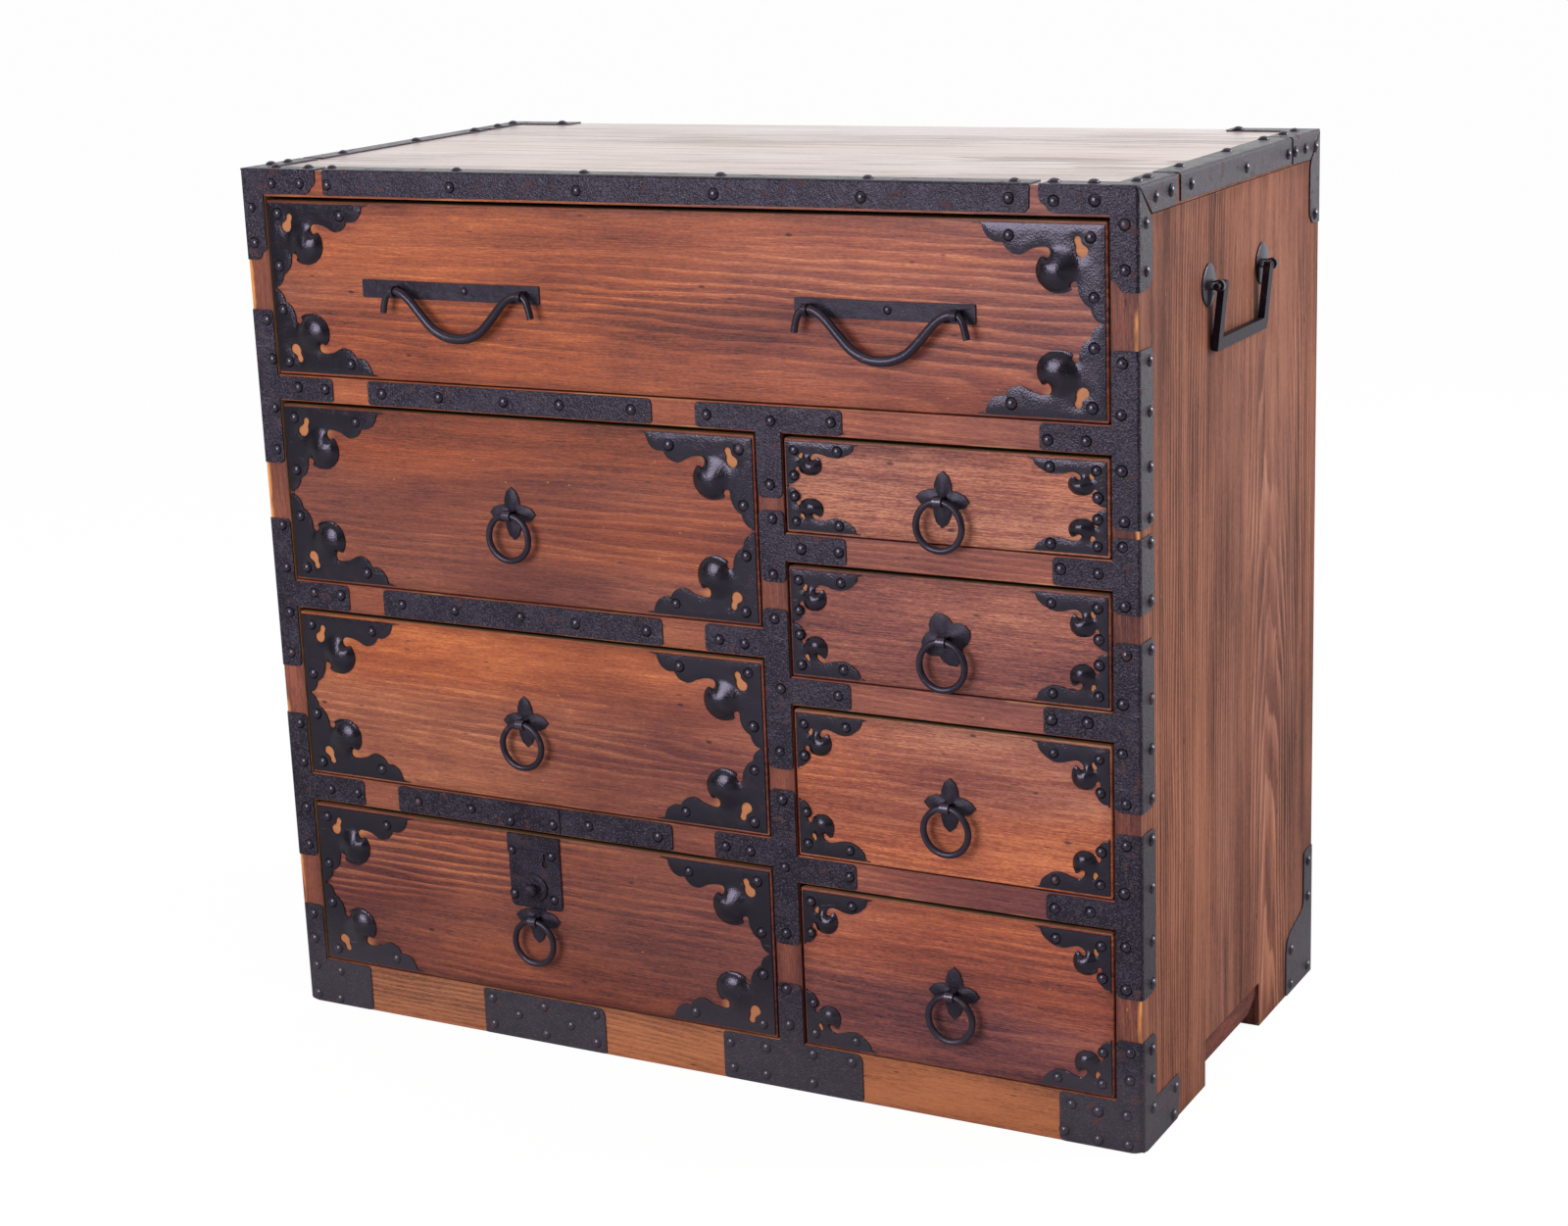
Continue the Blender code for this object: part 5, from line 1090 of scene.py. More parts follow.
# %% Outlines of the two sizes of plate
LARGE_RIM = [(0, 0), (107.8, 0), (107.8, 1.8), (105.9, 8.2), (102, 13.6), (96, 16.6), (90, 16.6), (88, 19.7),
             (84.1, 23.8), (77.1, 26.2), (72.1, 25.1), (67.1, 22.2), (61.1, 20.2), (55.1, 19.3), (50.1, 19.9),
             (47.8, 22.8), (48.3, 26.8), (51.3, 29.1), (54.8, 27.7), (57.2, 29.3), (59.7, 34.5), (60.4, 40.1),
             (59.5, 45.6), (56.6, 51), (51.7, 55.4), (45.7, 58), (39.8, 58.3), (33.9, 57.2), (29.5, 54.8),
             (30.6, 51.2), (29, 48.6), (25.9, 47.7), (23.5, 49.8), (23, 55.3), (21.1, 60.8), (18.2, 65.2),
             (14.7, 67.9), (12.4, 69.6), (11.4, 73.3), (9.5, 76.9), (6.6, 80), (3.7, 81.0), (0, 81.0)]
LARGE_HOLE = [(23.2, 9.8), (26.0, 9.8), (27.9, 12.0), (27.5, 15.0), (26.3, 17.8), (26.5, 21.6), (24.8, 25.4),
              (21.0, 27.6), (17.0, 26.5), (14.9, 23.2), (15.5, 19.6), (18.7, 17.4), (20.9, 15.0),
              (21.2, 12.0)]
SMALL_RIM = [(0, 0), (65.8, 0), (65.5, 1.8), (63.5, 7.9), (56.8, 13.5), (50.1, 16.3), (42.3, 15.9),
             (35.9, 13.9), (29.3, 12.9), (24.5, 15.6), (23.3, 20), (26.4, 20.9), (31.2, 17.5), (33.7, 21.7),
             (34.5, 27.6), (32.5, 33.7), (27, 38.1), (19.1, 38.2), (13.9, 34.9), (12.2, 30.7), (9.6, 30),
             (7.9, 34.1), (11.1, 38.7), (10.9, 43.5), (6.7, 48.6), (1.3, 50.0), (0, 50.0)]
SMALL_HOLE = [(14.2, 13.2), (16.4, 14.4), (16.2, 17.0), (15.2, 19.8), (12.4, 20.0), (11.2, 17.6),
              (12.8, 15.4)]
PLATE_KINDS = {
    "large": dict(rim=LARGE_RIM, hole=LARGE_HOLE, boss=(43.0, 39.5), radius=17.5, lift=6.2,
                  nails=((84, 10.5), (12, 10), (9.5, 61))),
    "small": dict(rim=SMALL_RIM, hole=SMALL_HOLE, boss=(23.6, 28.0), radius=10.8, lift=4.8,
                  nails=((50.4, 8.7), (8.6, 9.8), (7.8, 39.5))),
}


def curve_point(before, start, end, after, t):
    """Point at share t of the way from start to end on a smooth curve through four points."""
    bend = before * 2 - start * 5 + end * 4 - after
    twist = start * 3 - end * 3 + after - before
    return start + (end - before) * (t / 2) + bend * (t * t / 2) + twist * (t ** 3 / 2)


def smooth_loop(points, steps=3):
    """A closed curve through the points; the stretches along the plate's two straight sides stay straight."""
    spots = [Vector(point) for point in points]
    fine = []
    for index, start in enumerate(spots):
        before = spots[index - 1]
        end, after = (spots[(index + step) % len(spots)] for step in (1, 2))
        fine.append(start)
        if start.x == end.x == 0 or start.y == end.y == 0:
            continue
        for step in range(1, steps):
            fine.append(curve_point(before, start, end, after, step / steps))
    return fine


def rim_points(loops, pitch=0.4 * MM):
    """The cut rims as close points, in a tree that finds the nearest one."""
    spots = []
    for loop in loops:
        for start, end in zip(loop, loop[1:] + loop[:1]):
            count = math.ceil((end - start).length / pitch)
            spots += [start.lerp(end, step / count) for step in range(count)]
    tree = kdtree.KDTree(len(spots))
    for index, spot in enumerate(spots):
        tree.insert((*spot, 0), index)
    tree.balance()
    return tree


def combined(shape, other, operation):
    """Boolean of two bmeshes through two short-lived objects."""
    made = []
    for each in (shape, other):
        mesh = bpy.data.meshes.new("boolean")
        each.to_mesh(mesh)
        each.free()
        made.append(bpy.data.objects.new("boolean", mesh))
        bpy.context.scene.collection.objects.link(made[-1])
    modifier = made[0].modifiers.new("boolean", "BOOLEAN")
    modifier.operation, modifier.object, modifier.solver = operation, made[1], "EXACT"
    result = bmesh.new()
    result.from_object(made[0], bpy.context.evaluated_depsgraph_get())
    for each in made:
        bpy.data.objects.remove(each, do_unlink=True)
    return result


# %% Beat one plate of each size
GRID_PITCH = 1.4 * MM
BELLY, BELLY_REACH = 0.5 * MM, 8 * MM
BOSS_FOOT = 3.2 * MM
DENT, DENT_SPACING = 0.15 * MM, 16 * MM


def plate_height(kind):
    """Height of an uncut plate, in millimetres."""
    return max(point[1] for point in PLATE_KINDS[kind]["rim"])


def beaten_plate(kind, height):
    """A corner plate with its own corner at the origin, its face towards +Z."""
    plan = PLATE_KINDS[kind]
    low = height / MM / plate_height(kind)
    loops = [[Vector((p.x, p.y * low)) * MM for p in smooth_loop(plan[label])] for label in ("rim", "hole")]
    width = max(point.x for point in loops[0])
    across, up = round(width / GRID_PITCH), round(height / GRID_PITCH)
    slab = bmesh.new()
    bmesh.ops.create_grid(slab, x_segments=across, y_segments=up, size=0.5)
    bmesh.ops.scale(slab, vec=(width + 4 * MM, height + 4 * MM, 1), verts=slab.verts)
    move(slab, (width / 2, height / 2, IRON))
    border = [edge for edge in slab.edges if edge.is_boundary]
    grown = bmesh.ops.extrude_edge_only(slab, edges=border)
    bmesh.ops.translate(slab, vec=(0, 0, -IRON), verts=only_verts(grown))
    bmesh.ops.contextual_create(slab, geom=[edge for edge in slab.edges if edge.is_boundary])
    bmesh.ops.recalc_face_normals(slab, faces=slab.faces)
    blade = cut_sheet(loops[0], IRON + 0.53 * MM, 0.45 * MM, holes=loops[1:])
    move(blade, (0, 0, -0.5 * MM))
    plate = combined(slab, blade, "INTERSECT")
    boss = Vector((plan["boss"][0], plan["boss"][1] * low)) * MM
    rims = rim_points(loops)
    for vert in plate.verts:
        if vert.co.z < IRON * 0.6:
            continue
        spot = vert.co.xy
        away = spot - boss
        away.y /= low
        rim = rims.find((*spot, 0))[2]
        inside = max(-(away.x + away.y) / max(away.length * 1.414, 1e-9), 0)
        share = away.length / (plan["radius"] * MM * (1 + 0.35 * inside))
        lift = 0
        if share < 1:
            lift = plan["lift"] * MM * (1 - share ** 2) ** (0.75 + 1.25 * min(inside * 2, 1))
        if share > 0.5:
            lift *= min(rim / BOSS_FOOT, 1) ** 0.6
        dent = noise.noise(Vector((spot.x, spot.y, 0)) / DENT_SPACING) * DENT
        belly = 1 - (1 - min(rim / BELLY_REACH, 1)) ** 2
        vert.co.z += lift + (BELLY + dent) * belly
    mesh = bpy.data.meshes.new("plate_" + kind)
    plate.to_mesh(mesh)
    plate.free()
    return mesh


# %% [markdown]
# On a low drawer front the plates are cut shorter, so that the upper and the lower one just miss each other. A plate
# of each size and height is beaten once, and four copies of it are turned into the corners.


# %% Nail four plates on each drawer
MARGIN = 2.5 * MM
DRIFT, DRIFT_SPACING, DRIFT_FREE = 0.9 * MM, 30 * MM, 4 * MM
beaten = {}
for index, drawer in enumerate(DRAWERS):
    kind = plate_kind(drawer)
    low, high = fronts[drawer]
    full = plate_height(kind) * MM
    height = min(full, (high.z - low.z - MARGIN) / 2 - MARGIN)
    if (kind, round(height, 5)) not in beaten:
        beaten[kind, round(height, 5)] = beaten_plate(kind, height)
    mesh = beaten[kind, round(height, 5)]
    plates, places = [], []
    for way_x in (1, -1):
        for way_z in (1, -1):
            corner = Vector((low.x + MARGIN if way_x > 0 else high.x - MARGIN, CASE_FRONT,
                             low.z + MARGIN if way_z > 0 else high.z - MARGIN))
            plate = bmesh.new()
            plate.from_mesh(mesh)
            own = Vector((way_x * 9, way_z * 7, index * 5))
            for vert in plate.verts:
                drift = noise.noise_vector(Vector((vert.co.x, vert.co.y, 0)) / DRIFT_SPACING + own)
                inner = min(max(vert.co.x, 0), max(vert.co.y, 0), DRIFT_FREE) / DRIFT_FREE
                vert.co += Vector((drift.x, drift.y, 0)) * DRIFT * inner
            plates.append(lay(plate, corner, way_x * X, way_z * Z, -Y))
            for u, v in PLATE_KINDS[kind]["nails"]:
                seat = Vector((way_x * u * MM, -IRON - BELLY, way_z * v * MM * height / full))
                places.append((corner + seat, -Y))
    piece(drawer + "_corner_plates", joined(*plates), CORNER_IRON, drawer, flat=False)
    nails(drawer + "_corner_nails", places, drawer, 1.0 if kind == "large" else 0.9)
print(len(beaten), "sizes of corner plate beaten")

# %% [markdown]
# ## Ring pulls
# A pull is a leaf of four pointed petals, a broad strap rolled into an eye, and a forged ring that hangs in it. The
# leaf starts as a circle whose points are drawn in to the petals' shape and is extruded inwards ring by ring, so
# that each petal gets a ridge. The ring is a circle spun round an axis.


# %% Shape a leaf, an eye and a ring
def grow(shape, face):
    """Extrude a face and return the new one; a lone face stays as the shape's other end."""
    lone = all(edge.is_boundary for edge in face.edges)
    grown = bmesh.ops.extrude_face_region(shape, geom=[face])
    if not lone:
        bmesh.ops.delete(shape, geom=[face], context="FACES_ONLY")
    return next(item for item in grown["geom"] if isinstance(item, bmesh.types.BMFace))


NARROW_PETALS = (1.0, 0.84, 0.63, 0.47, 0.63, 0.84)
BROAD_PETALS = (1.0, 0.92, 0.80, 0.66, 0.80, 0.92)
LEAF_RINGS = (  # share of the radius, height of the ridge and of the valley
    (1.0, 1.3, 1.2), (0.97, 1.7, 1.4), (0.72, 2.7, 1.5), (0.44, 3.2, 1.7), (0.16, 2.9, 2.2))
STEP = math.pi / 12


def leaf_shape(radius, turn, petals):
    """Leaf of four ridged petals, its back on the XY plane."""
    shape = bmesh.new()
    bmesh.ops.create_circle(shape, segments=24, radius=1, cap_ends=True)
    face = shape.faces[:][0]
    for vert in face.verts:
        vert.co *= radius * petals[round(math.atan2(vert.co.y, vert.co.x) / STEP) % 6]
    for share, ridge, valley in LEAF_RINGS:
        face = grow(shape, face)
        for vert in face.verts:
            step = round(math.atan2(vert.co.y, vert.co.x) / STEP)
            height = valley + (ridge - valley) * (1 - abs((step + 3) % 6 - 3) / 3)
            reach = radius * petals[step % 6] * share
            vert.co = (math.cos(step * STEP) * reach, math.sin(step * STEP) * reach, height * MM)
    bmesh.ops.rotate(shape, matrix=Matrix.Rotation(turn, 3, "Z"), verts=shape.verts)
    bmesh.ops.recalc_face_normals(shape, faces=shape.faces)
    return shape


def rolled_eye(hole, wall, width, reach, neck=50, steps=18):
    """Strap rolled round the X axis, with both ends reaching back along +Y."""
    shape = bmesh.new()
    bmesh.ops.create_grid(shape, x_segments=1, y_segments=1, size=0.5)
    bmesh.ops.scale(shape, vec=(width, wall, 1), verts=shape.verts)
    move(shape, (0, hole + wall / 2, 0))
    bmesh.ops.rotate(shape, matrix=Matrix.Rotation(math.radians(neck), 3, "X"), verts=shape.verts)
    first = last = shape.faces[:][0]
    for _ in range(steps):
        last = grow(shape, last)
        step = Matrix.Rotation(math.radians(360 - 2 * neck) / steps, 3, "X")
        bmesh.ops.rotate(shape, matrix=step, verts=last.verts)
    for face in (last, first):
        face = grow(shape, face)
        for vert in face.verts:
            vert.co.y = reach
    bmesh.ops.recalc_face_normals(shape, faces=shape.faces)
    sharp = [edge for edge in shape.edges if edge.calc_face_angle() > 1.0]
    bmesh.ops.bevel(shape, geom=sharp, offset=0.3 * MM, segments=1, profile=0.5, affect="EDGES", material=-1)
    return shape


def spun_ring(radius, wire):
    """Ring round the Y axis, centred at the origin."""
    shape = bmesh.new()
    bmesh.ops.create_circle(shape, segments=12, radius=wire, matrix=Matrix.Translation((radius, 0, 0)))
    bmesh.ops.spin(shape, geom=shape.verts[:] + shape.edges[:], cent=(0, 0, 0), axis=(0, 1, 0),
                   angle=2 * math.pi, steps=48, use_merge=True)
    bmesh.ops.recalc_face_normals(shape, faces=shape.faces)
    return shape


# %% [markdown]
# The second pull on the right has broader petals and hangs askew. The leaf on the locked drawer is cut off straight
# where it meets the lock plate. A forged ring is never quite round, so soft noise moves its points a little.

# %% Hang the rings
RING_RADIUS, RING_WIRE, LEAF_RADIUS = 21.5 * MM, 3.0 * MM, 25 * MM
LOCK_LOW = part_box("lock_plate")[0].z
OUT_OF_ROUND = 0.35 * MM
RINGS = [name for name in frame["bodies"] if name.endswith("_ring")]
for index, ring in enumerate(RINGS):
    stem, pivot = ring.removesuffix("_ring"), PIVOTS[ring]
    drawer = stem + "_drawer"
    broad = stem == "right_second"
    turn = math.radians(22 if broad else chance.uniform(-3, 3))
    leaf = leaf_shape(LEAF_RADIUS, turn, BROAD_PETALS if broad else NARROW_PETALS)
    if stem == "left_lower":
        slice_through(leaf, (0, LOCK_LOW - 0.4 * MM - pivot.z, 0), (0, 1, 0), clear_outer=True)
        bmesh.ops.holes_fill(leaf, edges=[edge for edge in leaf.edges if edge.is_boundary], sides=0)
    lay(leaf, Vector((pivot.x, CASE_FRONT - FIT, pivot.z)), X, Z, -Y)
    eye = rolled_eye(hole=3.7 * MM, wall=1.1 * MM, width=8.5 * MM, reach=8.5 * MM)
    move(eye, pivot)
    for face in eye.faces:
        face.material_index = 1
    piece(stem + "_leaf_and_eye", joined(leaf, eye), (BEATEN_IRON, WORN_IRON), drawer,
          stands_for=(stem + "_ring_plate",), smooth=24)
    wire = spun_ring(RING_RADIUS, RING_WIRE)
    for vert in wire.verts:
        vert.co += noise.noise_vector(vert.co / (16 * MM) + Vector((index * 7, 0, 0))) * OUT_OF_ROUND
    move(wire, pivot - Z * RING_RADIUS)
    piece(stem + "_ring_forged", wire, RING_IRON, ring, stands_for=(stem + "_ring",), flat=False)
print(len(RINGS), "ring pulls")

# %% [markdown]
# ## Bails of the wide top drawer
# Each bail is a round bar that swells towards its middle. Its ends pass through two eyes on a beaten strip and curl
# down outside them. A circle is extruded from point to point along a smooth path and turned to face the way.


# %% Draw a bar along a path
def smooth_path(points, steps=4):
    """Points on a smooth curve that passes through the given ones."""
    path = []
    for index in range(len(points) - 1):
        before, start, end = points[max(index - 1, 0)], points[index], points[index + 1]
        after = points[min(index + 2, len(points) - 1)]
        for step in range(steps):
            path.append(curve_point(before, start, end, after, step / steps))
    return path + [points[-1]]


def drawn_bar(path, radii, sides=12):
    """A round bar along a path, closed at both ends."""
    shape = bmesh.new()
    ways = [(path[min(i + 1, len(path) - 1)] - path[max(i - 1, 0)]).normalized() for i in range(len(path))]
    start = Matrix.Translation(path[0]) @ ways[0].to_track_quat("Z", "Y").to_matrix().to_4x4()
    bmesh.ops.create_circle(shape, cap_ends=True, segments=sides, radius=radii[0], matrix=start)
    face = shape.faces[:][0]
    for index in range(1, len(path)):
        face = grow(shape, face)
        turn = ways[index - 1].rotation_difference(ways[index]).to_matrix().to_4x4()
        size = Matrix.Scale(radii[index] / radii[index - 1], 4)
        move = Matrix.Translation(path[index]) @ turn @ size @ Matrix.Translation(-path[index - 1])
        bmesh.ops.transform(shape, matrix=move, verts=face.verts)
    bmesh.ops.recalc_face_normals(shape, faces=shape.faces)
    return shape


# %% The two bails and their strips
BAIL_PATH = ((81, 20), (79, 11), (75.7, 2.8), (70, 0), (61.6, 0.8), (51.8, 7.1), (39.9, 19.9), (26.6, 33.2),
             (13.3, 39.8), (0, 41.5))
BAIL_HALF, BAIL_WIRE, BAIL_ENDS = 70.0, 4.8 * MM, 0.66
for body in ("top_left_bail", "top_right_bail"):
    pivot = PIVOTS[body]
    left = [Vector((-x, 0, -z)) for x, z in BAIL_PATH]
    path = smooth_path(left + [Vector((-p.x, 0, p.z)) for p in reversed(left[:-1])])
    swell = [BAIL_ENDS + (1 - BAIL_ENDS) * max(0, 1 - abs(p.x) / BAIL_HALF) ** 0.6 for p in path]
    bar = drawn_bar([pivot + p * MM for p in path], [BAIL_WIRE * share for share in swell])
    for vert in bar.verts:
        vert.co += noise.noise_vector(vert.co / (18 * MM)) * 0.15 * MM
    piece(body + "_bar", bar, RING_IRON, body, stands_for=(body,), flat=False)
    low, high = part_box(body + "_strip")
    left_x, right_x, centre, middle = low.x / MM, high.x / MM, pivot.x / MM, pivot.z / MM
    strip = front_sheet([(left_x, middle - 8, 1.5), (left_x, middle + 8.5, 1.5), (centre, middle + 8, 30),
                         (right_x, middle + 8.5, 1.5), (right_x, middle - 8.5, 1.5),
                         (centre, middle - 8, 30)])
    move(strip, (0, -FIT, 0))
    eyes = []
    for end in (-1, 1):
        eye = rolled_eye(hole=3.8 * MM, wall=1.3 * MM, width=5.5 * MM, reach=8.8 * MM)
        move(eye, pivot + end * BAIL_HALF * MM * X)
        eyes.append(eye)
    piece(body + "_strip_and_eyes", joined(strip, *eyes), BEATEN_IRON, "top_drawer",
          stands_for=(body + "_strip",))
    place = Vector((pivot.x + 4 * MM, CASE_FRONT - FIT - IRON, pivot.z + 1 * MM))
    nails(body + "_strip_nail", [(place, -Y)], "top_drawer", 0.7)
print("two bails")

# %% [markdown]
# ## Lifting handles
# On each side hangs a square handle of flat bar. Its legs end in pins that turn in two eyes, each on a round plate
# whose top and bottom are drawn out to a point. The handle is an outline cut from thick bar, and it leans a little
# towards the wood, because the bar hangs outside its pins.

# %% The side handles
DROP, LEG, HALF_BAR, HALF_THICK = 52.5, 59.5, 5.5, 3.15
LEAN = math.radians(6)
EYE_APART, PIN_PAST, PIN_WIRE = 69.3, 9.0, 3 * MM
ROSETTE_RADIUS, ROSETTE_THICK = 17.2 * MM, 1.1 * MM
ROSETTE_STEPS = ((0.9, 0.7), (0.6, 0.7), (0.3, 0.3))  # share of the radius and rise
outer, inner, crown, sole, ledge = LEG + HALF_BAR, LEG - HALF_BAR, 3.4, -DROP - HALF_BAR, -DROP + HALF_BAR
U_SHAPE = [(-outer, crown, 6), (-outer, sole, 0.8), (outer, sole, 0.8), (outer, crown, 6),
           (inner, crown, 2.5), (inner, ledge, 0.6), (-inner, ledge, 0.6), (-inner, crown, 2.5)]
for side, stem in SIDES:
    body = stem + "_side_handle"
    pivot = PIVOTS[body]
    bar = cut_sheet(outline(U_SHAPE), 2 * HALF_THICK * MM, 0.6 * MM, both=True)
    lay(bar, pivot - side * X * HALF_THICK * MM, Y, Z, side * X)
    bmesh.ops.rotate(bar, cent=pivot, matrix=Matrix.Rotation(side * LEAN, 3, "Y"), verts=bar.verts)
    pins = []
    for end in (-1, 1):
        start = pivot + Y * end * LEG * MM
        tip = pivot + Y * end * (EYE_APART + PIN_PAST) * MM
        path = [start, tip - Y * end * 1.2 * MM, tip - Y * end * 0.4 * MM, tip]
        pins.append(drawn_bar(path, [PIN_WIRE, PIN_WIRE, 2.6 * MM, 1.6 * MM]))
    piece(body + "_bar", joined(bar, *pins), HANDLE_IRON, body, stands_for=(body,))
    for end, label in ((-1, "front"), (1, "back")):
        node = f"{body}_rosette_{label}"
        centre = pivot + Y * end * EYE_APART * MM
        disc = bmesh.new()
        bmesh.ops.create_circle(disc, segments=32, radius=ROSETTE_RADIUS, cap_ends=True)
        for vert in disc.verts:
            vert.co.y *= 1 + 0.10 * abs(vert.co.y / ROSETTE_RADIUS) ** 8
        face = grow(disc, disc.faces[:][0])
        bmesh.ops.translate(disc, vec=(0, 0, ROSETTE_THICK), verts=face.verts)
        before = 1.0
        for share, rise in ROSETTE_STEPS:
            face = grow(disc, face)
            bmesh.ops.scale(disc, vec=(share / before, share / before, 1), verts=face.verts)
            bmesh.ops.translate(disc, vec=(0, 0, rise * MM), verts=face.verts)
            before = share
        lay(disc, Vector((side * (OUTER_X + FIT), centre.y, centre.z)), Y, Z, side * X)
        eye = rolled_eye(hole=3.5 * MM, wall=1.6 * MM, width=5.0 * MM, reach=8.2 * MM)
        bmesh.ops.rotate(eye, cent=(0, 0, 0), matrix=Matrix.Rotation(math.pi / 2 * side, 3, "Z"),
                         verts=eye.verts)
        move(eye, centre)
        piece(node + "_plate", joined(disc, eye), RING_IRON, "root", stands_for=(node,), smooth=30)
print("two lifting handles")

# %% [markdown]
# ## Lock
# The lock on the lowest wide drawer shows a plate with a seam, a keyhole and a turned knob on a disc. Its keeper is a
# small plate on the rail above. The keyhole is cut through the plate with a boolean, and a small dark sheet behind
# it is painted shade that stands for the depth of the lock.

# %% The lock plate and its keyhole
low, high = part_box("lock_plate")
left_x, right_x, low_z, high_z = low.x / MM, high.x / MM, low.z / MM, high.z / MM
SEAM = low_z + 58.5
lower = front_sheet(four_corners(left_x + 0.4, right_x, low_z, SEAM, (6, 0.3, 0.3, 6)), high.y, 2 * MM)
upper = [(left_x - 1.0, SEAM + 0.4, 0.8), (left_x - 0.6, high_z, 0.8), (right_x, high_z, 0.8),
         (right_x, SEAM + 0.4, 0.8)]
upper = front_sheet(upper, high.y, 2.2 * MM)
KEY_X, KEY_Z = (left_x + right_x) / 2 + 12, low_z + 45.7
KEYHOLE_HALF = ((1.5, 11.5, 0.5), (1.5, 3, 0.3), (3.3, 1.6, 0.8), (3.3, -1.6, 1.2), (1.4, -3.4, 1.2))
keyhole = [(KEY_X - x, KEY_Z + z, radius) for x, z, radius in KEYHOLE_HALF]
keyhole += [(KEY_X + x, KEY_Z + z, radius) for x, z, radius in reversed(KEYHOLE_HALF)]
blade = front_sheet(keyhole, high.y + 4 * MM, 10 * MM, 0)
plate = combined(lower, blade, "DIFFERENCE")
piece("lock_plate_forged", joined(plate, upper), LOCK_IRON, "left_lower_drawer", stands_for=("lock_plate",))
dark = Finish("keyhole_dark")
speckled = dark.node("TexNoise", sockets={"Scale": 300.0})
dark.surface(Base_Color=dark.colour(speckled, (0.004, 0.004, 0.005), (0.010, 0.008, 0.008)), Roughness=0.8)
patch = four_corners(KEY_X - 5, KEY_X + 5, KEY_Z - 5, KEY_Z + 13, (1, 1, 1, 1))
patch = front_sheet(patch, high.y + 0.1 * MM, 0.2 * MM, 0.05 * MM)
piece("keyhole_shadow", patch, dark.material, "left_lower_drawer")

# %% The knob and the keeper


def turned(profile, steps=28):
    """A turned shape round the Z axis from (radius, height) in millimetres."""
    shape = bmesh.new()
    verts = [shape.verts.new((radius * MM, 0, height * MM)) for radius, height in profile]
    edges = [shape.edges.new(pair) for pair in zip(verts, verts[1:])]
    bmesh.ops.spin(shape, geom=verts + edges, cent=(0, 0, 0), axis=(0, 0, 1), angle=2 * math.pi, steps=steps,
                   use_merge=True)
    bmesh.ops.remove_doubles(shape, verts=shape.verts, dist=1e-6)
    bmesh.ops.recalc_face_normals(shape, faces=shape.faces)
    return shape


KNOB = [(0, -19), (4, -19), (4, 0.3), (13.4, 0.3), (13.8, 0.9), (13.6, 2.1), (12.6, 2.7), (8, 2.6),
        (5.6, 2.9), (5.0, 4.2), (5.2, 6.6), (6.6, 7.8), (7.2, 9.6), (6.9, 11.6), (5.4, 13.3), (2.6, 14.2),
        (0, 14.3)]
knob = lay(turned(KNOB), PIVOTS["lock_knob"], X, Z, -Y)
piece("lock_knob_turned", knob, LOCK_IRON, "lock_knob", stands_for=("lock_knob",))
lock_face = low.y
low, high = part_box("lock_keeper")
corners = four_corners(low.x / MM + 1, high.x / MM + 2, low.z / MM, high.z / MM, (1.5, 1.5, 3, 1.5))
piece("lock_keeper_plate", front_sheet(corners, high.y), LOCK_IRON, stands_for=("lock_keeper",))
KEEPER_NAILS = ((-190, 226), (-142, 228))
LOCK_NAILS = ((-191.5, 196), (-146.6, 195), (-191, 152), (-146, 151))
nails("keeper_nails", [(Vector((x * MM, low.y, z * MM)), -Y) for x, z in KEEPER_NAILS])
nails("lock_nails", [(Vector((x * MM, lock_face, z * MM)), -Y) for x, z in LOCK_NAILS], "left_lower_drawer",
      0.95)
frame["nodes"]["lock_case"].data.materials[0] = SHEET_IRON
print("lock")

# %% [markdown]
# ## Studio
# The chest stands on a plain white floor that runs out of the picture on every side. Seen by the camera or in a
# reflection, most of the floor's white is its own, so that the ground is white while the chest keeps a soft shadow.

# %% Floor
FLOOR_GREY, FLOOR_IN_GLOSS = (0.70, 0.70, 0.70), (0.50, 0.50, 0.50)
floor_finish = Finish("studio_floor")
ray = floor_finish.node("LightPath", output="Is Camera Ray")
grey = floor_finish.colour(ray.output("Is Glossy Ray"), FLOOR_GREY, FLOOR_IN_GLOSS)
floor_finish.surface(Base_Color=grey, Roughness=0.9)
place = floor_finish.node("TexCoord", output="Object")
away = floor_finish.node("SeparateXYZ", sockets={0: place}, output="Y")
mirrored = ray.output("Is Glossy Ray") * floor_finish.between(away, 0.9, 2.2)
seen = floor_finish.sum("MAXIMUM", floor_finish.sum("MAXIMUM", ray, mirrored),
                        ray.output("Is Transmission Ray"))
glow = floor_finish.node("Emission", sockets={"Color": (1, 1, 1, 1), "Strength": 0.95})
matt = floor_finish.node("BsdfDiffuse", sockets={"Color": (0.08, 0.08, 0.08, 1)})
white = floor_finish.node("AddShader", sockets={0: glow, 1: matt})
lit = Value(floor_finish, floor_finish.shader.outputs[0])
mixed = floor_finish.node("MixShader", sockets={0: seen, 1: lit, 2: white})
floor_finish.feed(floor_finish.tree.nodes["Material Output"].inputs["Surface"], mixed)
ground = bmesh.new()
bmesh.ops.create_grid(ground, x_segments=2, y_segments=2, size=40)
floor_mesh = bpy.data.meshes.new("floor")
ground.to_mesh(floor_mesh)
ground.free()
floor_mesh.materials.append(floor_finish.material)
floor = bpy.data.objects.new("floor", floor_mesh)
bpy.context.scene.collection.objects.link(floor)
floor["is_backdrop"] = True
print("floor")

# %% [markdown]
# Light comes from a broad lamp just left of the front, from a second one at the back right that lights the side, and
# from a pale sky that is brighter overhead. The first lamp hangs low enough for the glossy plates at the upper right
# to mirror its lower edge, as they do in the photograph.

# %% Light
DIM_LOW, DIM_HIGH = 0.12, 0.55


class Sky(Finish):
    """The world's own node tree, written like a finish."""

    def __init__(self, name):
        self.world = bpy.data.worlds.new(name)
        self.world.use_nodes = True
        self.tree = self.world.node_tree
        self.shader = self.tree.nodes["Background"]


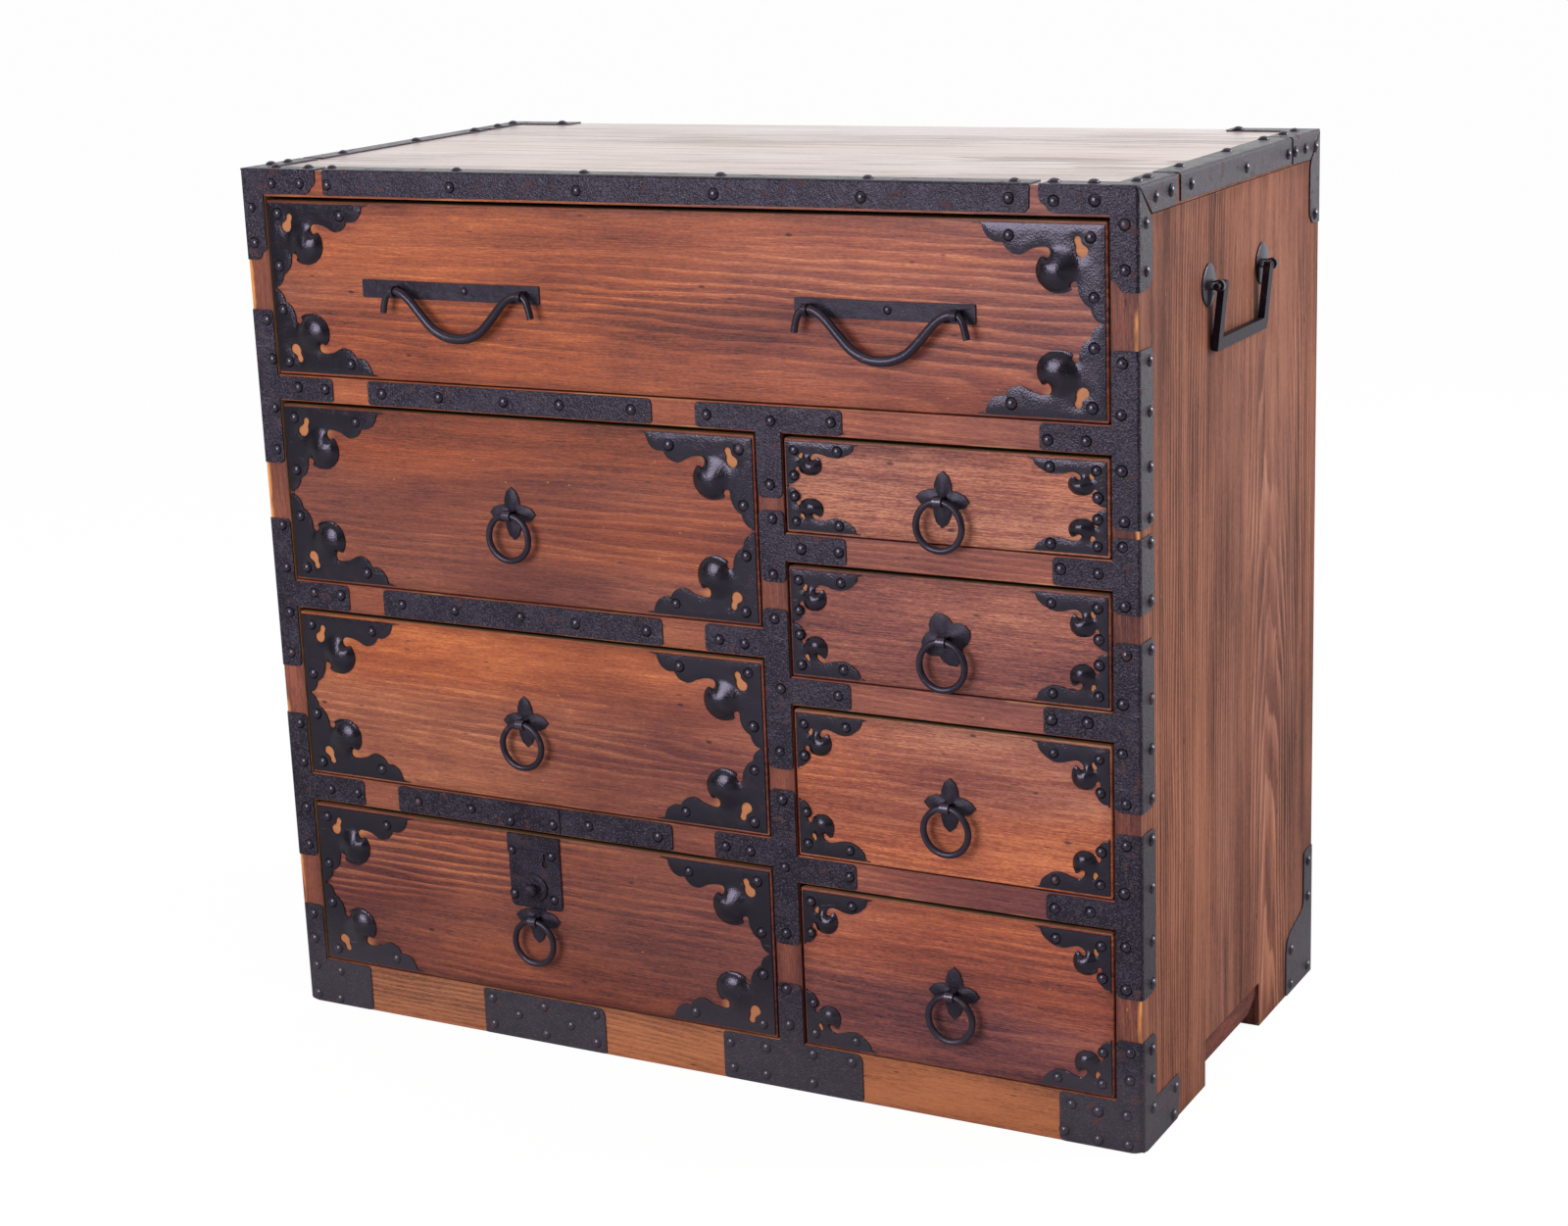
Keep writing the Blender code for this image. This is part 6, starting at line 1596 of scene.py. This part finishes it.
sky = Sky("studio")
bpy.context.scene.world = sky.world
ray = sky.node("LightPath", output="Is Camera Ray")
way = sky.node("SeparateXYZ", sockets={0: sky.node("TexCoord", output="Generated")}, output="Y")
behind = ray.output("Is Glossy Ray") * sky.between(way, -0.35, 0.15)
seen = sky.sum("MAXIMUM", sky.sum("MAXIMUM", ray, behind), ray.output("Is Transmission Ray"))
dim = sky.between(way.output("Z"), 0.05, 0.90) * (DIM_HIGH - DIM_LOW) + DIM_LOW
sky.feed(sky.shader.inputs["Strength"], seen * (1 - dim) + dim)
sky.feed(sky.shader.inputs["Color"], (1, 1, 1, 1))


def lamp(name, place, target, size, power):
    """A square softbox that faces a point."""
    data = bpy.data.lights.new(name, "AREA")
    data.shape, data.size, data.energy = "SQUARE", size, power
    made = bpy.data.objects.new(name, data)
    made.location = place
    made.rotation_euler = (Vector(target) - Vector(place)).to_track_quat("-Z", "Y").to_euler()
    bpy.context.scene.collection.objects.link(made)


lamp("key_lamp", (-0.85, -2.9, 1.30), (0, -0.2, 0.45), 1.6, 56)
lamp("side_lamp", (2.7, 1.5, 1.7), (0.3, 0, 0.45), 1.2, 66)
print("sky and two lamps")

# %% [markdown]
# ## Camera
# The camera's place, its turn and its lens were worked out from the case's corners in the photograph. The rows of
# the matrix below are the camera's right, up and back.

# %% Camera
camera = bpy.data.cameras.new("camera")
camera.sensor_width = 36
camera.lens = 64.77
camera.clip_end = 200
eye_point = bpy.data.objects.new("camera", camera)
turn = Matrix(((0.88136, 0.47096, -0.0374), (-0.08847, 0.2423, 0.96616),
               (0.46408, -0.84823, 0.25522))).transposed()
eye_point.matrix_world = Matrix.Translation((1.27314, -2.34171, 1.09566)) @ turn.to_4x4()
bpy.context.scene.collection.objects.link(eye_point)
bpy.context.scene.camera = eye_point
bpy.context.scene.view_settings.view_transform = "Standard"
print("camera with a lens of", camera.lens, "mm")

# %% [markdown]
# Last, the box of the dressed model is worked out.

# %% Work out the box of the dressed model
low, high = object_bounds()
